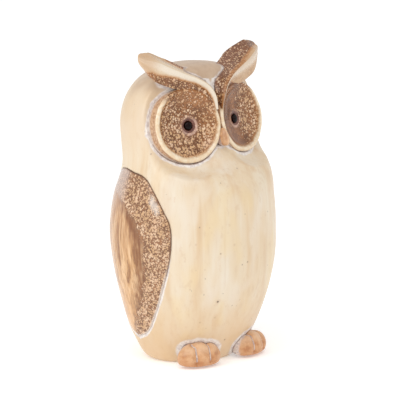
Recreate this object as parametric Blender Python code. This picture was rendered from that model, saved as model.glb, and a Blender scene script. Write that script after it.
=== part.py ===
"""Owl figurine of glazed earthenware, built as the separate clay pieces it is luted together from.

Blender units are metres, +Z is up, the owl looks along -Y and its right side is at -X.
The origin is on the table, under the middle of the owl's width and depth. Run with: blender --background --python part.py
"""

import math

import bmesh
import bpy
import numpy as np
from mathutils import Matrix

MM = 0.001

# ---------------------------------------------------------------- driving dimensions, in millimetres
WALL = 5.5            # thickness of the pot wall
GAP = 0.3             # the lute joint left between neighbouring pieces
RINGS = 34            # rings up the pot
SIDES = 48            # facets round the pot

# the pot's outer form: height, half width, depth in front of the axis, depth behind it
POT = (
    (0.0, 29.0, 23.8, 22.4),
    (0.0, 30.4, 25.0, 23.8),
    (2.6, 34.6, 28.4, 26.4),
    (7.0, 38.2, 31.8, 28.4),
    (13.0, 41.4, 34.9, 31.0),
    (22.0, 45.6, 39.4, 34.8),
    (38.0, 50.8, 46.0, 37.8),
    (60.0, 55.6, 51.2, 42.4),
    (85.0, 57.8, 51.2, 46.4),
    (107.0, 55.6, 50.0, 43.6),
    (116.0, 53.0, 47.4, 40.8),
    (123.0, 50.8, 42.8, 38.8),
    (130.0, 49.4, 35.6, 38.0),
    (136.0, 49.0, 30.4, 39.4),
    (142.0, 49.2, 27.2, 40.6),
    (149.0, 49.4, 24.8, 41.6),
    (157.0, 49.3, 23.0, 41.6),
    (166.0, 47.3, 21.4, 39.9),
    (174.0, 43.6, 19.8, 36.6),
    (181.0, 37.4, 17.6, 31.4),
    (186.2, 28.4, 15.4, 23.4),
    (189.4, 18.6, 11.0, 15.4),
    (190.7, 9.4, 6.0, 7.8),
    (191.0, 0.0, 0.0, 0.0),
)

# the front of the pot is flatter than an ellipse from the shoulder up
BREAST_FLAT = 0.7
BREAST_FROM = 104.0
BREAST_TO = 134.0

# the hollow inside, in the same terms; it ends at the hole the base slab is set in
HOLLOW = (
    (0.0, 24.0, 18.8, 17.4),
    (5.6, 24.0, 18.8, 17.4),
    (7.8, 30.4, 24.6, 21.6),
    (22.0, 40.0, 33.8, 29.2),
    (38.0, 45.2, 40.4, 32.2),
    (60.0, 50.0, 45.6, 36.8),
    (85.0, 52.2, 45.6, 40.8),
    (107.0, 50.0, 43.6, 38.0),
    (118.0, 46.4, 35.0, 34.0),
    (130.0, 43.9, 20.0, 32.2),
    (149.0, 43.8, 12.0, 36.0),
    (162.0, 42.3, 8.4, 35.4),
    (174.0, 37.2, 7.0, 30.4),
    (181.0, 27.4, 6.0, 22.0),
    (184.6, 14.5, 4.0, 11.0),
    (185.4, 0.0, 0.0, 0.0),
)

# eye dishes, left-hand values mirrored to the right
DISH_CENTRE = (23.8, -22.3, 154.8)   # middle of the rim plane
DISH_TURN = 14.0                      # degrees the dish looks outwards
DISH_PITCH = 12.0                     # degrees it looks up
DISH_HALF_WIDTH = 24.2
DISH_HALF_HEIGHT = 24.4
DISH_THICK = 8.5                      # rim plane to the back
BOWL_DEPTH = 4.6
PUPIL_IN = 2.6                        # how far the pupil sits in from the middle of the dish
PUPIL_R = 2.7
SOCKET_R = 3.0
BRIDGE = (9.0, -18.4, 143.0, 168.5)   # width, front face and height of the flat between the two dish seats

# ear tufts: stations from between the eyes to the tip; front edge, back edge, lower edge, lip over the dish rim
TUFT = (
    ((1.9, -26.8, 163.4), (1.2, -20.6, 167.6), (2.8, -20.0, 164.4), (5.4, -24.4, 163.2)),
    ((3.4, -27.0, 171.0), (2.2, -18.4, 176.6), (4.8, -18.4, 171.0), (7.8, -22.8, 168.2)),
    ((7.8, -25.2, 178.4), (6.2, -13.6, 184.8), (9.6, -16.4, 176.6), (11.8, -20.6, 172.2)),
    ((14.8, -22.8, 183.4), (13.4, -8.0, 189.2), (16.4, -13.6, 180.6), (16.8, -18.9, 174.6)),
    ((23.8, -19.4, 187.4), (22.4, -5.0, 193.4), (24.6, -11.2, 182.4), (23.8, -17.4, 175.8)),
    ((32.6, -16.2, 191.2), (31.0, -4.2, 197.0), (33.4, -7.6, 182.6), (33.4, -13.8, 178.8)),
    ((40.4, -13.4, 195.2), (38.8, -4.0, 200.4), (41.0, -5.8, 185.6), (41.6, -12.4, 183.0)),
    ((46.4, -10.0, 197.4), (44.6, -3.2, 201.8), (46.0, -4.6, 190.0), (46.8, -10.8, 189.2)),
)
TUFT_TIP = (50.8, -6.6, 196.6)
TUFT_EDGE = (1.2, 2.0, 2.5, 2.8, 3.0, 3.2, 3.4, 3.0)   # half width of the rounded front edge at each station

# wings: front and back edge as degrees round the pot from its side, front positive, by height
WING = (
    (16.5, -9.0, -5.0),
    (18.6, -19.0, 3.4),
    (24.6, -32.0, 13.5),
    (32.8, -42.0, 19.5),
    (44.4, -50.0, 25.5),
    (56.3, -56.0, 30.0),
    (66.4, -59.5, 33.3),
    (77.5, -61.5, 36.0),
    (88.4, -61.5, 36.6),
    (96.0, -60.0, 35.0),
    (102.7, -57.5, 31.0),
    (108.9, -54.0, 26.7),
    (116.3, -47.5, 19.2),
    (122.2, -38.5, 10.9),
    (125.4, -29.0, 0.0),
    (126.4, -19.0, -11.0),
)
WING_SUNK = 0.6        # how far the leaf's border lies below the pot's surface
WING_RISE = 0.9        # how far its middle rises above its border
WING_BACK = 2.9        # depth of its back below the pot's surface

# beak, feet, base slab
BEAK = (0.0, -28.6, 144.6)
BEAK_HALF = (3.0, 5.6, 6.6)
FOOT = (22.2, -30.4, 1.6)
FOOT_HALF = (15.0, 9.2)
FOOT_SPLAY = 14.0
FOOT_PROFILE = ((0.80, 0.0), (0.92, 0.8), (0.985, 2.5), (1.0, 4.6), (0.96, 7.2), (0.84, 10.0), (0.63, 12.4), (0.34, 13.8), (0.0, 14.2))
TOE_GROOVES = (-0.33, 0.36)
SLAB_THICK = 5.0
VENT_R = 8.0
FACE_DROP = 3.4       # how far the pot is pressed back behind the rim plane round each dish


# ---------------------------------------------------------------- curves and surfaces
def through(points, count, closed=False):
    """count points on a smooth centripetal Catmull-Rom curve through the given ones, ends included."""
    p = np.array(points, float)
    if closed:
        ring = np.vstack([p[-1], p, p[0], p[1]])
    else:
        ring = np.vstack([2 * p[0] - p[1], p, 2 * p[-1] - p[-2]])
    step = np.maximum(np.sqrt(np.linalg.norm(np.diff(ring, axis=0), axis=1)), 1e-6)
    knot = np.concatenate([[0], np.cumsum(step)])
    low, high = knot[1], knot[len(ring) - 2]
    at = np.linspace(low, high, count, endpoint=not closed)
    out = []
    for t in at:
        i = int(np.clip(np.searchsorted(knot, t, side="right") - 1, 1, len(ring) - 3))
        t0, t1, t2, t3 = knot[i - 1:i + 3]
        p0, p1, p2, p3 = ring[i - 1:i + 3]
        a1 = (t1 - t) / (t1 - t0) * p0 + (t - t0) / (t1 - t0) * p1
        a2 = (t2 - t) / (t2 - t1) * p1 + (t - t1) / (t2 - t1) * p2
        a3 = (t3 - t) / (t3 - t2) * p2 + (t - t2) / (t3 - t2) * p3
        b1 = (t2 - t) / (t2 - t0) * a1 + (t - t0) / (t2 - t0) * a2
        b2 = (t3 - t) / (t3 - t1) * a2 + (t - t1) / (t3 - t1) * a3
        out.append((t2 - t) / (t2 - t1) * b1 + (t - t1) / (t2 - t1) * b2)
    return np.array(out)


def smooth(x, low, high):
    t = np.clip((x - low) / (high - low), 0.0, 1.0)
    return t * t * (3 - 2 * t)


def section(half, around):
    """Points round one level of the pot: around is in radians from +X, positive towards the back."""
    z, width, front, back = half
    c, s = np.cos(around), np.sin(around)
    flat = 2 / (2 + BREAST_FLAT * smooth(np.array(z), BREAST_FROM, BREAST_TO))
    power = np.where(s < 0, flat, 1.0)
    x = width * np.sign(c) * np.abs(c) ** power
    y = np.where(s < 0, front, back) * np.sign(s) * np.abs(s) ** power
    return np.stack([x, y, np.full_like(c, z)], axis=-1)


def dish_frame(side):
    """Centre, outward horizontal, up and normal of a dish. side is +1 on the owl's left, -1 on its right."""
    turn, pitch = math.radians(DISH_TURN), math.radians(DISH_PITCH)
    n = np.array([side * math.sin(turn) * math.cos(pitch), -math.cos(turn) * math.cos(pitch), math.sin(pitch)])
    h = np.array([math.cos(turn) * side, math.sin(turn), 0.0])
    v = np.cross(h, n) * side
    if v[2] < 0:
        v = -v
    return np.array(DISH_CENTRE) * (side, 1, 1), h, v, n


def press(points):
    """The face: the pot is pushed back round each dish, so that the dish stands proud of it."""
    p = points.copy()
    for side in (1, -1):
        centre, h, v, n = dish_frame(side)
        q = p - centre
        along = np.hypot(q @ h / DISH_HALF_WIDTH, q @ v / DISH_HALF_HEIGHT)
        proud = q @ n + FACE_DROP
        amount = 0.5 * (proud + np.sqrt(proud * proud + 4.0)) * (1 - smooth(along, 1.10, 1.62))
        ahead = smooth(-p[..., 1], 2.0, 9.0)
        p = p - (amount * ahead)[..., None] * n
    return p


def pot_rings(stations, count):
    return through(stations, count)


def mesh_object(name, verts, faces, colour, rough=0.45, smooth_angle=35.0, metallic=0.0):
    mesh = bpy.data.meshes.new(name)
    mesh.from_pydata([tuple(float(c) * MM for c in v) for v in verts], [], [list(map(int, f)) for f in faces])
    mesh.update()
    bm = bmesh.new()
    bm.from_mesh(mesh)
    bmesh.ops.remove_doubles(bm, verts=bm.verts, dist=1e-6)
    bmesh.ops.recalc_face_normals(bm, faces=bm.faces)
    bm.to_mesh(mesh)
    bm.free()
    mesh.shade_smooth()
    mesh.set_sharp_from_angle(angle=math.radians(smooth_angle))
    obj = bpy.data.objects.new(name, mesh)
    bpy.context.scene.collection.objects.link(obj)
    if colour is not None:
        obj.data.materials.append(glaze(name, colour, rough, metallic))
    return obj


def glaze(name, colour, rough, metallic=0.0):
    mat = bpy.data.materials.new(name)
    mat.use_nodes = True
    shader = mat.node_tree.nodes["Principled BSDF"]
    shader.inputs["Base Color"].default_value = (*colour, 1.0)
    shader.inputs["Roughness"].default_value = rough
    shader.inputs["Metallic"].default_value = metallic
    return mat


def grid_faces(rows, columns, start=0, wrap=True):
    faces = []
    for i in range(rows - 1):
        for j in range(columns if wrap else columns - 1):
            a = start + i * columns + j
            b = start + i * columns + (j + 1) % columns
            faces.append((a, b, b + columns, a + columns))
    return faces


def lathe(profile, sides, centre, h, v, n, stretch=1.0, inward=0.0):
    """Vertices and faces of a turned piece: profile is (radius, height) pairs from the axis out and back to it.

    inward moves the middle of the piece along -h, fading out towards the rim.
    """
    verts, faces, rings = [], [], []
    for radius, height in profile:
        moved = centre + n * height - h * inward * (1 - float(smooth(np.array(radius), 6.0, 20.0)))
        if radius < 1e-6:
            rings.append([len(verts)])
            verts.append(moved)
            continue
        ring = []
        for k in range(sides):
            a = 2 * math.pi * k / sides
            ring.append(len(verts))
            verts.append(moved + h * (radius * stretch * math.cos(a)) + v * (radius * math.sin(a)))
        rings.append(ring)
    for low, high in zip(rings, rings[1:]):
        for k in range(sides):
            m = (k + 1) % sides
            if len(low) == 1:
                faces.append((low[0], high[k], high[m]))
            elif len(high) == 1:
                faces.append((low[k], high[0], low[m]))
            else:
                faces.append((low[k], high[k], high[m], low[m]))
    return verts, faces


def cut(obj, *cutters):
    for cutter in cutters:
        modifier = obj.modifiers.new("less " + cutter.name, "BOOLEAN")
        modifier.operation = "DIFFERENCE"
        modifier.object = cutter
        modifier.solver = "EXACT"


def settle(obj):
    """Turns the cut piece into a plain mesh and drops crumbs the cuts leave behind."""
    bpy.context.view_layer.update()
    seen = obj.evaluated_get(bpy.context.evaluated_depsgraph_get())
    bm = bmesh.new()
    bm.from_mesh(seen.to_mesh())
    seen.to_mesh_clear()
    bmesh.ops.remove_doubles(bm, verts=bm.verts, dist=5e-6)
    bmesh.ops.dissolve_degenerate(bm, edges=bm.edges, dist=2e-6)
    islands, done = [], set()
    for start in bm.verts:
        if start in done:
            continue
        group, heap = [], [start]
        done.add(start)
        while heap:
            vert = heap.pop()
            group.append(vert)
            for edge in vert.link_edges:
                other = edge.other_vert(vert)
                if other not in done:
                    done.add(other)
                    heap.append(other)
        islands.append(group)
    islands.sort(key=len)
    for crumb in islands[:-1]:
        bmesh.ops.delete(bm, geom=crumb, context="VERTS")
    bmesh.ops.recalc_face_normals(bm, faces=bm.faces)
    obj.modifiers.clear()
    bm.to_mesh(obj.data)
    bm.free()
    obj.data.shade_smooth()
    obj.data.set_sharp_from_angle(angle=math.radians(35.0))


def as_cutter(obj):
    obj.hide_render = True
    obj.display_type = "WIRE"
    return obj


# ---------------------------------------------------------------- the pot
def closed_pot(name, stations, rings, sides, grow, colour=None):
    """A solid of the pot's outer form, grown by grow along its own normals."""
    around = np.arange(sides) * 2 * np.pi / sides
    levels = pot_rings(stations, rings)
    grid = press(np.array([section(level, around) for level in levels[:-1]]))
    if grow:
        du = np.roll(grid, -1, 1) - np.roll(grid, 1, 1)
        dv = np.gradient(grid, axis=0)
        normal = np.cross(du, dv)
        normal /= np.maximum(np.linalg.norm(normal, axis=-1, keepdims=True), 1e-9)
        grid = grid + normal * grow
    verts = list(grid.reshape(-1, 3))
    faces = grid_faces(rings - 1, sides)
    low = len(verts)
    verts.append(np.array([0, 0, grid[0, 0, 2]]))
    top = len(verts)
    verts.append(np.array([0, 0, levels[-1][0] + grow]))
    last = (rings - 2) * sides
    for j in range(sides):
        k = (j + 1) % sides
        faces.append((low, k, j))
        faces.append((top, last + j, last + k))
    return mesh_object(name, verts, faces, colour)


def body_shell():
    around = np.arange(SIDES) * 2 * np.pi / SIDES
    outer = pot_rings(POT, RINGS)[:-1]
    outer_grid = press(np.array([section(level, around) for level in outer]))
    inner = pot_rings(HOLLOW, 18)[:-1]
    inner_grid = np.array([section(level, around) for level in inner])
    verts = list(outer_grid.reshape(-1, 3))
    faces = grid_faces(len(outer), SIDES)
    top = len(verts)
    verts.append(np.array([0.0, 0.0, POT[-1][0]]))
    last = (len(outer) - 1) * SIDES
    for j in range(SIDES):
        faces.append((top, last + j, last + (j + 1) % SIDES))
    start = len(verts)
    verts += list(inner_grid.reshape(-1, 3))
    faces += [f[::-1] for f in grid_faces(len(inner), SIDES, start)]
    roof = len(verts)
    verts.append(np.array([0.0, 0.0, HOLLOW[-1][0]]))
    last = start + (len(inner) - 1) * SIDES
    for j in range(SIDES):
        faces.append((roof, last + (j + 1) % SIDES, last + j))
    for j in range(SIDES):
        k = (j + 1) % SIDES
        faces.append((j, k, start + k, start + j))
    return mesh_object("body_shell", verts, faces, (0.80, 0.66, 0.47), 0.42)


def base_slab():
    sides = 48
    rings = []
    edge = GAP + 0.05
    for scale, radius, height in (
        (None, VENT_R, 0.8), (None, VENT_R + 0.8, 0.0), (1.0, 0.6, 0.0), (1.0, 0.0, 0.6),
        (1.0, 0.0, SLAB_THICK), (None, VENT_R, SLAB_THICK),
    ):
        ring = []
        for k in range(sides):
            a = 2 * math.pi * k / sides
            if scale is None:
                ring.append((radius * math.cos(a), radius * math.sin(a), height))
            else:
                x = (HOLLOW[0][1] - edge - radius) * math.cos(a)
                depth = HOLLOW[0][2] if math.sin(a) < 0 else HOLLOW[0][3]
                ring.append((x, (depth - edge - radius) * math.sin(a), height))
        rings.append(ring)
    verts = [p for ring in rings for p in ring]
    faces = grid_faces(len(rings), sides)
    last = (len(rings) - 1) * sides
    for k in range(sides):
        m = (k + 1) % sides
        faces.append((last + k, last + m, m, k))
    return mesh_object("base_slab", verts, faces, (0.70, 0.45, 0.30), 0.8)


# ---------------------------------------------------------------- the face
def dish_profile(grow=0.0):
    """Half section of a dish from the middle of its bowl, over the rim, to the middle of its back."""
    r, floor = DISH_HALF_HEIGHT, -BOWL_DEPTH
    bowl = [
        (4.3, floor - 0.2), (5.0, floor + 0.15), (9.5, floor + 0.25), (14.5, floor + 0.95), (18.4, floor + 2.2),
        (20.8, floor + 3.9), (22.2, floor + 4.8), (23.2, floor + 4.6), (r, floor + 3.4),
    ]
    if grow:
        bowl = [(radius + grow * (radius - 18.0) / 5.0 if radius > 18.0 else radius, height + grow * 1.15)
                for radius, height in bowl]
        return [(0, floor + 0.15)] + bowl + [(r + grow, floor + 2.0), (r + grow, -DISH_THICK - grow), (0, -DISH_THICK - grow)]
    socket = [(0, floor - 2.4), (SOCKET_R, floor - 2.4), (SOCKET_R, floor - 0.5)]
    return socket + bowl + [(r, -DISH_THICK + 0.4), (r - 0.4, -DISH_THICK), (0, -DISH_THICK)]


def eye_dish(side, name, grow=0.0):
    centre, h, v, n = dish_frame(side)
    stretch = DISH_HALF_WIDTH / DISH_HALF_HEIGHT
    verts, faces = lathe(dish_profile(grow), 40, centre, h, v, n, stretch, 0.0 if grow else PUPIL_IN)
    return mesh_object(name, verts, faces, (0.36, 0.20, 0.11), 0.3)


def dish_seat(side, name):
    """The round recess in the pot that a dish is set in."""
    centre, h, v, n = dish_frame(side)
    r = DISH_HALF_HEIGHT + GAP
    profile = ((0, 30.0), (r, 30.0), (r, -DISH_THICK - GAP), (0, -DISH_THICK - GAP))
    verts, faces = lathe(profile, 40, centre, h, v, n, DISH_HALF_WIDTH / DISH_HALF_HEIGHT)
    return mesh_object(name, verts, faces, None)


def box(name, low, high):
    corners = [(x, y, z) for x in (low[0], high[0]) for y in (low[1], high[1]) for z in (low[2], high[2])]
    faces = [(0, 1, 3, 2), (4, 6, 7, 5), (0, 4, 5, 1), (2, 3, 7, 6), (0, 2, 6, 4), (1, 5, 7, 3)]
    return mesh_object(name, [np.array(c) for c in corners], faces, None)


def pupil(side, name):
    centre, h, v, n = dish_frame(side)
    centre = centre - h * PUPIL_IN
    floor = -BOWL_DEPTH
    r = PUPIL_R
    profile = [(0, floor - 2.1), (r, floor - 2.1), (r, floor + 0.1)]
    for k in range(1, 5):
        a = math.radians(90 * k / 5)
        profile.append((r * math.cos(a), floor + 0.1 + 1.2 * math.sin(a)))
    profile.append((0, floor + 1.3))
    verts, faces = lathe(profile, 20, centre, h, v, n)
    return mesh_object(name, verts, faces, (0.01, 0.008, 0.008), 0.06)


def tuft_sections(count, around):
    """Closed sections of the right-hand tuft, as (count, around, 3)."""
    data = np.array([[*f, *k, *g, *u, e] for (f, k, g, u), e in zip(TUFT, TUFT_EDGE)], float)
    fine = through(data, count)
    front, back, lower, lip, edge = fine[:, 0:3], fine[:, 3:6], fine[:, 6:9], fine[:, 9:12], fine[:, 12]
    middle = (front + back + lower) / 3
    tangent = np.gradient(middle, axis=0)
    tangent /= np.linalg.norm(tangent, axis=1, keepdims=True)
    out = []
    for f, k, g, u, e, t in zip(front, back, lower, lip, edge, tangent):
        down = (u - f) - ((u - f) @ t) * t
        down /= np.linalg.norm(down)
        rear = (k - f) - ((k - f) @ t) * t
        rear /= np.linalg.norm(rear)
        out_ward = -(down + rear)
        out_ward /= np.linalg.norm(out_ward)
        ring = [
            f, f + down * e * 1.15 - out_ward * e * 0.2, 0.42 * f + 0.58 * u + rear * 0.8, u, 0.5 * (u + g) + down * 0.2,
            g, 0.5 * (g + k), k - rear * 0.3 + down * 0.9, k, 0.5 * (f + k) + down * 0.5, f + rear * e * 1.15 - out_ward * e * 0.2,
        ]
        out.append(through(ring, around, closed=True))
    return np.array(out)


def ear_tuft(side, name):
    count, around = 15, 26
    rings = tuft_sections(count, around)
    tip = np.array(TUFT_TIP)
    # close the tip by a few shrinking rings that bulge towards the tip point
    last = rings[-1]
    middle = last.mean(0)
    more = []
    for k in (1, 2, 3):
        a = math.radians(90 * k / 4)
        more.append(middle + (last - middle) * math.cos(a) + (tip - middle) * math.sin(a))
    rings = np.vstack([rings, np.array(more)])
    verts = list(rings.reshape(-1, 3))
    faces = grid_faces(len(rings), around)
    root, end = len(verts), len(verts) + 1
    verts += [rings[0].mean(0), tip]
    final = (len(rings) - 1) * around
    for k in range(around):
        m = (k + 1) % around
        faces.append((root, m, k))
        faces.append((end, final + k, final + m))
    verts = [np.array(p) * (side, 1, 1) for p in verts]
    return mesh_object(name, verts, faces, (0.52, 0.36, 0.22), 0.35)


def beak():
    cx, cy, cz = BEAK
    hx, hy, hz = BEAK_HALF
    rows, around = 10, 16
    verts, faces = [], []
    for i in range(1, rows):
        t = i / rows                                   # 0 at the top, 1 at the point
        swell = math.sin(math.pi * t) ** 0.75 * (0.72 + 0.38 * t)
        for k in range(around):
            a = 2 * math.pi * k / around
            x = hx * swell * math.cos(a)
            y = hy * swell * math.sin(a) * (1.0 if math.sin(a) < 0 else 1.3)
            verts.append((cx + x, cy + y - 1.2 * t, cz + hz * math.cos(math.pi * t)))
    faces = grid_faces(rows - 1, around)
    top, end = len(verts), len(verts) + 1
    verts += [(cx, cy, cz + hz), (cx, cy - 1.2, cz - hz)]
    final = (rows - 2) * around
    for k in range(around):
        m = (k + 1) % around
        faces.append((top, m, k))
        faces.append((end, final + k, final + m))
    return mesh_object("beak", verts, faces, (0.66, 0.38, 0.20), 0.45)


# ---------------------------------------------------------------- feet
def foot(side, name):
    """A low pad with two grooves that part three toes, rounded under its edge and flat underneath."""
    hx, hy = FOOT_HALF
    around = 40
    turn = math.radians(FOOT_SPLAY) * side
    c, s = math.cos(turn), math.sin(turn)
    verts = []
    for scale, z in FOOT_PROFILE[:-1]:
        for k in range(around):
            a = 2 * math.pi * (k + 0.5) / around
            px, py = scale * hx * math.cos(a), scale * hy * math.sin(a)
            dent = 0.0
            for g in TOE_GROOVES:
                d = (px / hx - g * side) / 0.085
                dent = max(dent, math.exp(-d * d))
            dent *= float(smooth(np.array(-math.sin(a)), 0.0, 0.5)) * 0.11
            verts.append((px, py * (1 - dent), z - dent * 6.0 * (z / FOOT_PROFILE[-1][1]) ** 2))
    rows = len(FOOT_PROFILE) - 1
    faces = grid_faces(rows, around)
    top, low = len(verts), len(verts) + 1
    verts += [(0, 0, FOOT_PROFILE[-1][1]), (0, 0, 0)]
    final = (rows - 1) * around
    for k in range(around):
        m = (k + 1) % around
        faces.append((low, m, k))
        faces.append((top, final + k, final + m))
    placed = []
    for x, y, z in verts:
        placed.append((side * FOOT[0] + c * x - s * y, FOOT[1] + s * x + c * y, FOOT[2] + z))
    return mesh_object(name, placed, faces, (0.70, 0.42, 0.22), 0.45)


# ---------------------------------------------------------------- wings
def pot_table():
    levels = pot_rings(POT, 400)
    return levels[np.argsort(levels[:, 0], kind="stable")]


def on_pot(table, z, degrees):
    """The point and outward normal of the pot on its left side, degrees towards the front."""
    def at(height, angle):
        half = [np.interp(height, table[:, 0], table[:, k]) for k in range(4)]
        return section(half, np.array([angle]))[0]
    a = -math.radians(degrees)
    here = at(z, a)
    normal = np.cross(at(z, a + 0.01) - at(z, a - 0.01), at(z + 0.5, a) - at(z - 0.5, a))
    return here, normal / np.linalg.norm(normal)


def wing_outline(rows, grow):
    """Back and front edges of the leaf as (degrees, height) pairs, moved outwards by grow millimetres."""
    edges = through(WING, rows)
    across = math.pi / 180 * 50.0                      # millimetres to a degree, near enough for a margin
    back = np.stack([edges[:, 1] * across, edges[:, 0]], axis=1)
    front = np.stack([edges[:, 2] * across, edges[:, 0]], axis=1)
    loop = np.vstack([front, back[::-1]])
    along = np.roll(loop, -1, 0) - np.roll(loop, 1, 0)
    normal = np.stack([along[:, 1], -along[:, 0]], axis=1)
    normal /= np.linalg.norm(normal, axis=1, keepdims=True)
    loop = loop + normal * grow
    loop[:, 0] /= across
    return loop[rows:][::-1], loop[:rows]


def wing(side, name, grow=0.0):
    """A leaf of clay let into the pot's side; with grow, the recess it is let into."""
    rows, columns = 26, 9
    back, front = wing_outline(rows, grow)
    table = pot_table()
    outer, inner = [], []
    for i in range(rows):
        for j in range(columns):
            f = 0.5 - 0.5 * math.cos(math.pi * j / (columns - 1))
            degrees, z = back[i] + (front[i] - back[i]) * f
            here, normal = on_pot(table, z, degrees)
            if grow:
                outer.append(here + normal * 3.0)
                inner.append(here - normal * (WING_BACK + GAP))
                continue
            middle = math.sqrt(max(0.0, math.sin(math.pi * f) * math.sin(math.pi * i / (rows - 1))))
            outer.append(here + normal * (WING_RISE * middle - WING_SUNK))
            inner.append(here - normal * WING_BACK)
    verts = outer + inner
    n = rows * columns
    faces = grid_faces(rows, columns, 0, wrap=False) + [f[::-1] for f in grid_faces(rows, columns, n, wrap=False)]
    rim = list(range(columns)) + [i * columns + columns - 1 for i in range(1, rows)]
    rim += [(rows - 1) * columns + j for j in range(columns - 2, -1, -1)] + [i * columns for i in range(rows - 2, 0, -1)]
    for a, b in zip(rim, rim[1:] + rim[:1]):
        faces.append((b, a, n + a, n + b))
    verts = [np.array(p) * (side, 1, 1) for p in verts]
    return mesh_object(name, verts, faces, (0.55, 0.36, 0.20), 0.3)


def build():
    for obj in list(bpy.data.objects):
        bpy.data.objects.remove(obj, do_unlink=True)
    shell = body_shell()
    base_slab()
    grown_pot = as_cutter(closed_pot("cutter_pot", POT, RINGS, SIDES, GAP))
    width, face, low, high = BRIDGE
    bridge = as_cutter(box("cutter_bridge", (-width / 2, -60.0, low), (width / 2, face, high)))
    cut(shell, bridge)
    for side, word in ((-1, "right"), (1, "left")):
        dish = eye_dish(side, "eye_dish_" + word)
        grown_dish = as_cutter(eye_dish(side, "cutter_dish_" + word, GAP))
        pupil(side, "eye_bead_" + word)
        wing(side, "wing_" + word)
        cut(shell, as_cutter(dish_seat(side, "cutter_seat_" + word)), as_cutter(wing(side, "cutter_wing_" + word, GAP + 0.1)))
        cut(ear_tuft(side, "ear_tuft_" + word), grown_pot, grown_dish)
        cut(foot(side, "foot_" + word), grown_pot)
    for side, word in ((-1, "right"), (1, "left")):
        far, near = sorted((-side * 60.0, side * GAP / 2))
        middle = as_cutter(box("cutter_middle_" + word, (far, -60.0, 110.0), (near, 0.0, 230.0)))
        cut(bpy.data.objects["eye_dish_" + word], middle)
        cut(bpy.data.objects["ear_tuft_" + word], middle)
        settle(bpy.data.objects["ear_tuft_" + word])
    cut(beak(), grown_pot, bpy.data.objects["cutter_dish_left"], bpy.data.objects["cutter_dish_right"])
    # the pot bulges more in front than behind: the origin goes to the middle of its depth
    depth = [vert.co.y for vert in shell.data.vertices]
    to_middle = Matrix.Translation((0.0, -(min(depth) + max(depth)) / 2, 0.0))
    for obj in bpy.data.objects:
        obj.data.transform(to_middle)


build()
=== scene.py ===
"""Looks of the owl figurine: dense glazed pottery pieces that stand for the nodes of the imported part.

Lengths in the tables are millimetres, before the part's origin is moved to the middle of its depth.
"""

import math

import bpy
import numpy as np
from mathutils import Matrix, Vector
from mathutils.kdtree import KDTree


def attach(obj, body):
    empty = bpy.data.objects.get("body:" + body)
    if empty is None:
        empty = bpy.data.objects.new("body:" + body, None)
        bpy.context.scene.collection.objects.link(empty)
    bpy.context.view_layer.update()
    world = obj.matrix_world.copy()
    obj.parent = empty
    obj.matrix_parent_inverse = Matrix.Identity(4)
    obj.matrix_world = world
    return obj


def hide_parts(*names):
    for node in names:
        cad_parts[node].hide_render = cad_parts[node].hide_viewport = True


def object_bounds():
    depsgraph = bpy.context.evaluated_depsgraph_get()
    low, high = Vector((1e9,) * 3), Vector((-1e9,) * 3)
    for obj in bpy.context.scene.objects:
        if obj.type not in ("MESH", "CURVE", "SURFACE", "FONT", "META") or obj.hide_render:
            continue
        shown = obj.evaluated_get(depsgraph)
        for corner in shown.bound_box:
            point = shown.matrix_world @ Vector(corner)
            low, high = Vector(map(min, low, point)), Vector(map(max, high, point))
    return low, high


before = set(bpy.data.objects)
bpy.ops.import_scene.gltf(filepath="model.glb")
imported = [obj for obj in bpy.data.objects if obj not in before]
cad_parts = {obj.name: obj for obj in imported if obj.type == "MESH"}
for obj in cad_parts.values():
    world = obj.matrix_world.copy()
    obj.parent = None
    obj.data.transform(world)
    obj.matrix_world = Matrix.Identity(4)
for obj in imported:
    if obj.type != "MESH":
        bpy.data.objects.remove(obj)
cad_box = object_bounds()

MM = 0.001
SHIFT = 2.62          # the part's own shift in Y, to the middle of its depth

POT = (
    (0.0, 29.0, 23.8, 22.4), (0.0, 30.4, 25.0, 23.8), (2.6, 34.6, 28.4, 26.4), (7.0, 38.2, 31.8, 28.4),
    (13.0, 41.4, 34.9, 31.0), (22.0, 45.6, 39.4, 34.8), (38.0, 50.8, 46.0, 37.8), (60.0, 55.6, 51.2, 42.4),
    (85.0, 57.8, 51.2, 46.4), (107.0, 55.6, 50.0, 43.6), (116.0, 53.0, 47.4, 40.8), (123.0, 50.8, 42.8, 38.8),
    (130.0, 49.4, 35.6, 38.0), (136.0, 49.0, 30.4, 39.4), (142.0, 49.2, 27.2, 40.6), (149.0, 49.4, 24.8, 41.6),
    (157.0, 49.3, 23.0, 41.6), (166.0, 47.3, 21.4, 39.9), (174.0, 43.6, 19.8, 36.6), (181.0, 37.4, 17.6, 31.4),
    (186.2, 28.4, 15.4, 23.4), (189.4, 18.6, 11.0, 15.4), (190.7, 9.4, 6.0, 7.8), (191.0, 0.0, 0.0, 0.0),
)
BREAST_FLAT, BREAST_FROM, BREAST_TO = 0.7, 104.0, 134.0
HOLLOW = (
    (0.0, 24.0, 18.8, 17.4), (5.6, 24.0, 18.8, 17.4), (7.8, 30.4, 24.6, 21.6), (22.0, 40.0, 33.8, 29.2),
    (38.0, 45.2, 40.4, 32.2), (60.0, 50.0, 45.6, 36.8), (85.0, 52.2, 45.6, 40.8), (107.0, 50.0, 43.6, 38.0),
    (118.0, 46.4, 35.0, 34.0), (130.0, 43.9, 20.0, 32.2), (149.0, 43.8, 12.0, 36.0), (162.0, 42.3, 8.4, 35.4),
    (174.0, 37.2, 7.0, 30.4), (181.0, 27.4, 6.0, 22.0), (184.6, 14.5, 4.0, 11.0), (185.4, 0.0, 0.0, 0.0),
)
DISH_CENTRE = (23.8, -22.3, 154.8)
DISH_TURN, DISH_PITCH = 14.0, 12.0
DISH_HALF_WIDTH, DISH_HALF_HEIGHT, DISH_THICK = 24.2, 24.4, 8.5
FLOOR = -4.6          # middle of a dish's bowl, from its rim plane
PUPIL_IN, PUPIL_R, SOCKET_R = 2.6, 2.7, 3.0
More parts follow.
